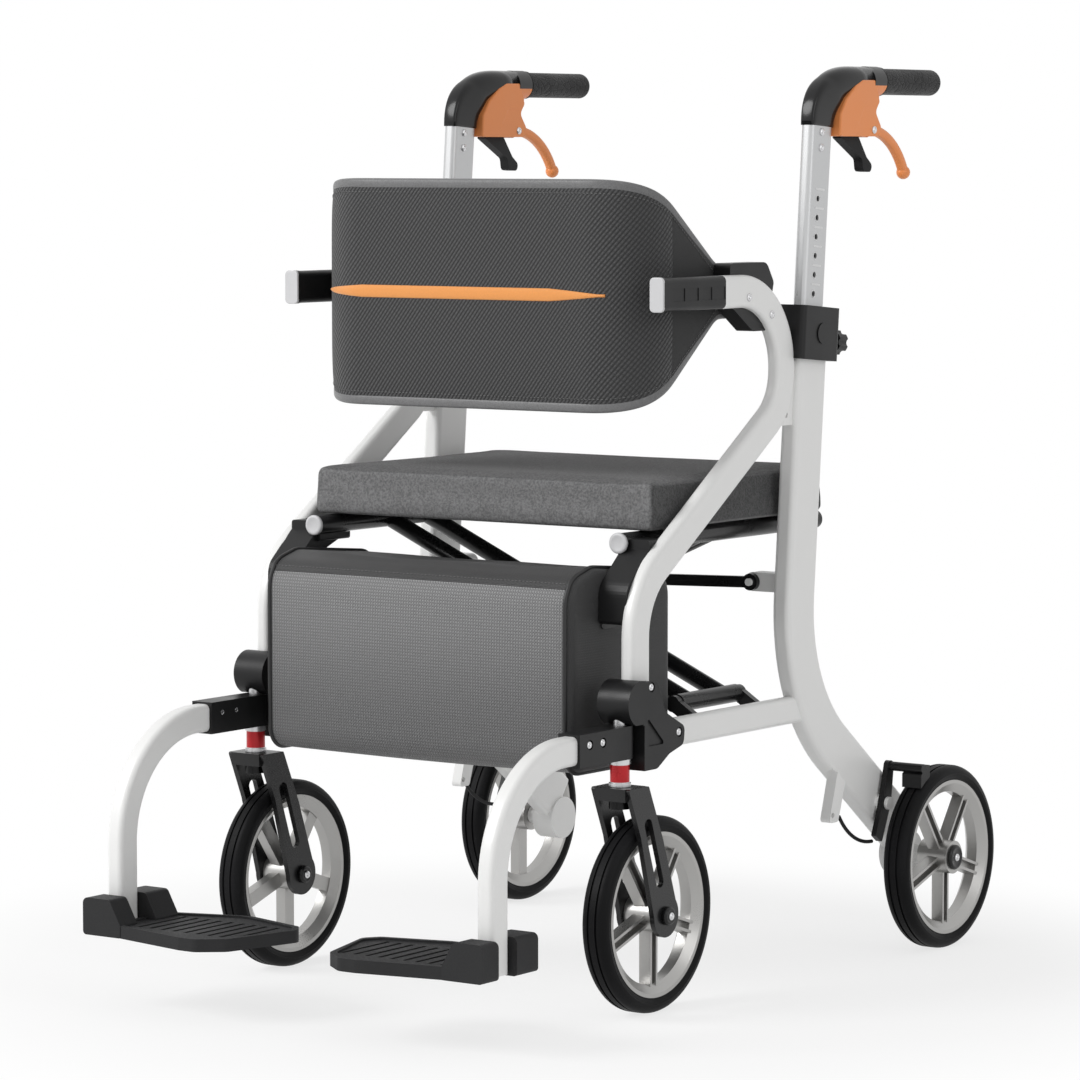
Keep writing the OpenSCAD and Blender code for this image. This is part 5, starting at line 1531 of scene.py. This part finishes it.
class CHAIR_OT_elbows(bpy.types.Operator):
    """Smooth moulded elbows from the handle tubes to the grips, and the brakes' cheeks that hug them"""

    bl_idname = "chair.elbows"
    bl_label = "Handle elbows"

    def execute(self, context):
        for name, side in SIDES:
            self.elbow(name, side)
            self.cheek(name, side)
        return {"FINISHED"}

    def quarter(self, angle, centre, reach, rise, fullness):
        """Point on a quarter of a full curve that starts upright and ends level, as (y, z)."""
        power = 2 / fullness
        return Vector((centre[0] - reach * max(math.cos(angle), 0.0) ** power,
                       centre[1] + rise * math.sin(angle) ** power))

    def elbow(self, name, side):
        """Swept between an outer and an inner edge, flat-sided on the tube and round at the grip."""
        steps = 28
        around = 40
        edges = []
        for k in range(steps + 1):
            angle = math.pi / 2 * k / steps
            edges.append((self.quarter(angle, *ELBOW_OUTER), self.quarter(angle, *ELBOW_INNER), k / steps))
        run = Vector((ELBOW_END - ELBOW_INNER[0][0], 0))
        edges.append((Vector((ELBOW_END, edges[-1][0].y)), edges[-1][1] + run, 1.0))
        points = []
        for outer, inner, share in edges:
            ease = share * share * (3 - 2 * share)
            middle = (outer + inner) / 2
            deep = (outer - inner) / 2
            wide = ELBOW_HALF + ELBOW_GROWS * ease
            power = 2 / (ELBOW_FULL - ELBOW_EASES * min(1.0, 1.6 * ease))
            for j in range(around):
                turn = 2 * math.pi * j / around
                flat = middle + deep * bowed(math.cos(turn), power)
                across = FRAME_X / MM + wide * bowed(math.sin(turn), power)
                points.append(place(side, across, flat.x, flat.y))
        rows = len(edges)
        faces = grid_faces(rows, around, wrap_columns=True)
        faces.append(tuple(range(around)))
        faces.append(tuple(range((rows - 1) * around, rows * around)))
        piece = add_object(f"{name}_elbow_shell", mesh_of("elbow_shell", points, faces))
        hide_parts(f"{name}_handle_elbow")
        dress(piece, MATERIALS["gloss"], f"{name}_handle")

    def cheek(self, name, side):
        """The upper part of the brake's housing, up to the elbow's inner edge."""
        outline = [p * MM for p in rounded(CHEEK_CORNERS)]
        base = place(side, FRAME_X / MM, 0.0, 0.0)
        mesh = plate("cheek", outline, base, (0, 1, 0), UP, CHEEK_HALF * MM, CHEEK_EDGE * MM, both=True)
        piece = add_object(f"{name}_brake_cheek", mesh)
        dress(piece, MATERIALS["orange"], f"{name}_handle")


# Screws, caps and marks


def screw_head(radius):
    """Domed head with a crossed recess, facing +Z and sitting on its origin."""
    rise = radius * 0.55
    sunk = -rise * 0.4
    profile = [(sunk, 0.0), (sunk, radius * 0.9), (0.0, radius), (rise * 0.45, radius * 0.96),
               (rise * 0.8, radius * 0.72), (rise, radius * 0.4), (rise, 0.0)]
    head = add_object("head", lathe("head", profile, (0, 0, 0), UP, 20))
    for angle in (20, 110):
        turn = Matrix.Rotation(math.radians(angle), 4, "Z")
        work = bmesh.new()
        bmesh.ops.create_cube(work, size=1.0)
        size = Matrix.Diagonal((radius * 1.25, radius * 0.3, rise, 1))
        put = turn @ Matrix.Translation((0, 0, rise * 0.9)) @ size
        bmesh.ops.transform(work, matrix=put, verts=work.verts)
        cutter = add_object("cut", mesh_from(work, "cut"))
        cut = head.modifiers.new("Recess", "BOOLEAN")
        cut.operation = "DIFFERENCE"
        cut.solver = "EXACT"
        cut.object = cutter
        bpy.context.view_layer.update()
        shaped = evaluated_mesh(head)
        head.modifiers.clear()
        head.data = shaped
        bpy.data.objects.remove(cutter)
    return head


# Where the screws sit on the left side, in millimetres (x, y, z), by the body that carries them.
# Those nearer the middle than the side frame face inwards
SCREW_PLACES = {
    "frame": [(249, -271, 333.1), (249, -221, 283), (240, -76.4, 716.7), (240, -32.6, 697.9)],
    "footrest": [(243, -371, 285), (243, -348, 285), (221, -371, 285), (221, -348, 285)],
    "handle": [(240, 64.4, 886.4), (240, 63.0, 869.9), (247, 158.7, 888.9), (224, 64.4, 886.4),
               (224, 63.0, 869.9), (217, 158.7, 888.9)],
    "caster": [(260.8, -250, 100), (203.2, -250, 100)],
    "rear_wheel": [(302.6, 250, 100)],
}


class CHAIR_OT_screws(bpy.types.Operator):
    """Cross-head screws on brackets, hinges, arms and handles"""

    bl_idname = "chair.screws"
    bl_label = "Screws"

    def execute(self, context):
        head = screw_head(settings()[1].screw)
        for name, side in SIDES:
            for body, places in SCREW_PLACES.items():
                points = [place(side, *p) for p in places]
                facings = [(side if p[0] * MM > FRAME_X else -side, 0, 0) for p in places]
                base = point_object(points, facings)
                piece = grown(f"{name}_{body}_screws", base, "Screws on points", Head=head, Size=1.0,
                              Material=MATERIALS["steel"])
                dress(piece, None, f"{name}_{body}")
        bpy.data.objects.remove(head)
        return {"FINISHED"}


def profile_mm(*pairs):
    """A turned profile of (height, radius) written in millimetres."""
    return [(height * MM, radius * MM) for height, radius in pairs]


HUB_PROFILE = profile_mm((0, 0), (0, 13.5), (2, 13.5), (3.4, 12.4), (4, 10.5), (3.4, 9.6), (3.6, 5), (3.8, 0))
AXLE_PROFILE = profile_mm((0, 0), (0, 9.4), (3.4, 9.4), (5.2, 8.6), (5.8, 7.2), (5.5, 6.2), (5.7, 0))
RAIL_PROFILE = profile_mm((0, 0), (0, 10.6), (2.6, 10.6), (3.6, 9.6), (3.9, 7.6), (3.5, 6.8), (3.6, 0))
RIM_PROFILE = profile_mm((-0.2, 3.1), (0.4, 3.3), (0.5, 3.9), (-0.2, 4.6), (-0.2, 3.1))
# Half the width of a caster's fork at its axle, in millimetres
FORK_HALF = 23.05
# Where caps and plates sit on the left side, in millimetres
REAR_CAP_X = 299.2
RAIL_CAP_AT = (194, -245.5, 473)
ARM_PLATE_Y, ARM_PLATE_Z = -233.6, 723


class CHAIR_OT_caps(bpy.types.Operator):
    """Hub caps, axle caps, seat rail caps and arm end plates"""

    bl_idname = "chair.caps"
    bl_label = "Caps and plates"

    def execute(self, context):
        for name, side in SIDES:
            self.hub_caps(name, side)
            self.rail_cap(name, side)
            self.arm_plate(name, side)
        return {"FINISHED"}

    def hub_caps(self, name, side):
        rear = lathe("rear_cap", HUB_PROFILE, place(side, REAR_CAP_X, AXLE_Y, AXLE_Z), (side, 0, 0))
        piece = add_object(f"{name}_rear_cap", rear)
        dress(piece, MATERIALS["gloss"], f"{name}_rear_wheel")
        for label, way in (("outer", 1), ("inner", -1)):
            base = place(side, FRAME_X / MM + way * FORK_HALF, -AXLE_Y, AXLE_Z)
            mesh = lathe("axle_cap", AXLE_PROFILE, base, (side * way, 0, 0))
            piece = add_object(f"{name}_{label}_axle_cap", mesh)
            dress(piece, MATERIALS["gloss"], f"{name}_caster")

    def rail_cap(self, name, side):
        # The rail on the left belongs to the brace whose foot is on the right
        body = "brace_right" if side > 0 else "brace_left"
        mesh = lathe("rail_cap", RAIL_PROFILE, place(side, *RAIL_CAP_AT), (0, -1, 0))
        dress(add_object(f"{name}_rail_cap", mesh), MATERIALS["light_grey"], body)

    def arm_plate(self, name, side):
        outline = rounded_box(8.4 * MM, 17.6 * MM, 4.6 * MM)
        base = place(side, FRAME_X / MM, ARM_PLATE_Y, ARM_PLATE_Z)
        mesh = plate("arm_plate", outline, base, (1, 0, 0), (0, 0, 1), 2.6 * MM, 1.0 * MM)
        piece = add_object(f"{name}_arm_plate", mesh)
        dress(piece, MATERIALS["light_grey"], f"{name}_frame")


# How far the handles lean back, and where their holes start above the clamp, in millimetres
HANDLE_LEAN = math.radians(4.75)
MARK_COUNT, MARK_PITCH = 6, 20
FIRST_HOLE, FIRST_TICK = 62, 72
MARK_FOOT = (240, 47.6, 655)


class CHAIR_OT_marks(bpy.types.Operator):
    """Rims of the holes in the handle tubes and the ticks between them"""

    bl_idname = "chair.marks"
    bl_label = "Handle marks"

    def execute(self, context):
        up = Vector((0, math.sin(HANDLE_LEAN), math.cos(HANDLE_LEAN)))
        back = Vector((0, math.cos(HANDLE_LEAN), -math.sin(HANDLE_LEAN)))
        outline = rounded_box(8.5 * MM, 1.1 * MM, 0.9 * MM, 3)
        for name, side in SIDES:
            work = bmesh.new()
            foot = place(side, *MARK_FOOT)
            for k in range(MARK_COUNT):
                base = foot + up * (FIRST_TICK + MARK_PITCH * k) * MM - Vector((side * 0.1 * MM, 0, 0))
                work.from_mesh(plate("tick", outline, base, back * side, up, 0.35 * MM, 0.1 * MM))
                hole = foot + up * (FIRST_HOLE + MARK_PITCH * k) * MM - back * (4 * MM)
                work.from_mesh(lathe("ring", RIM_PROFILE, hole, (side, 0, 0), 24))
            piece = add_object(f"{name}_handle_marks", mesh_from(work, f"{name}_handle_marks"))
            dress(piece, MATERIALS["mark"], f"{name}_handle")
        return {"FINISHED"}


class CHAIR_PT_panel(bpy.types.Panel):
    """Lists the chair's settings and the steps that dress it"""

    bl_idname = "CHAIR_PT_panel"
    bl_label = "Transport chair"
    bl_space_type = "VIEW_3D"
    bl_region_type = "UI"
    bl_category = "Chair"

    def draw(self, context):
        for group in settings():
            box = self.layout.box()
            for key in group.bl_rna.properties.keys():
                if key not in ("rna_type", "name"):
                    box.prop(group, key)
        for step in STEPS:
            self.layout.operator(step.bl_idname)


STEPS = (CHAIR_OT_stage, CHAIR_OT_finishes, CHAIR_OT_seat, CHAIR_OT_band, CHAIR_OT_bag, CHAIR_OT_elbows,
         CHAIR_OT_screws, CHAIR_OT_caps, CHAIR_OT_marks)
CLASSES = (ChairColours, ChairSizes, ChairStage, *STEPS, CHAIR_PT_panel)
SHARED_GROUPS = (build_grain_group, build_basket_group, build_rib_group, build_felt_group, build_wheel_group)
NODE_TREES = (build_screw_tree, build_bead_tree, build_stitch_tree)


def register():
    for item in CLASSES:
        bpy.utils.register_class(item)
    bpy.types.Scene.chair_colours = bpy.props.PointerProperty(type=ChairColours)
    bpy.types.Scene.chair_sizes = bpy.props.PointerProperty(type=ChairSizes)
    bpy.types.Scene.chair_stage = bpy.props.PointerProperty(type=ChairStage)


def unregister():
    del bpy.types.Scene.chair_stage
    del bpy.types.Scene.chair_sizes
    del bpy.types.Scene.chair_colours
    for item in reversed(CLASSES):
        bpy.utils.unregister_class(item)


def main():
    register()
    for build in SHARED_GROUPS + NODE_TREES:
        build()
    bpy.ops.chair.stage()
    bpy.ops.chair.finishes()
    bpy.ops.chair.seat()
    bpy.ops.chair.band()
    bpy.ops.chair.bag()
    bpy.ops.chair.elbows()
    bpy.ops.chair.screws()
    bpy.ops.chair.caps()
    bpy.ops.chair.marks()


if __name__ == "__main__":
    main()
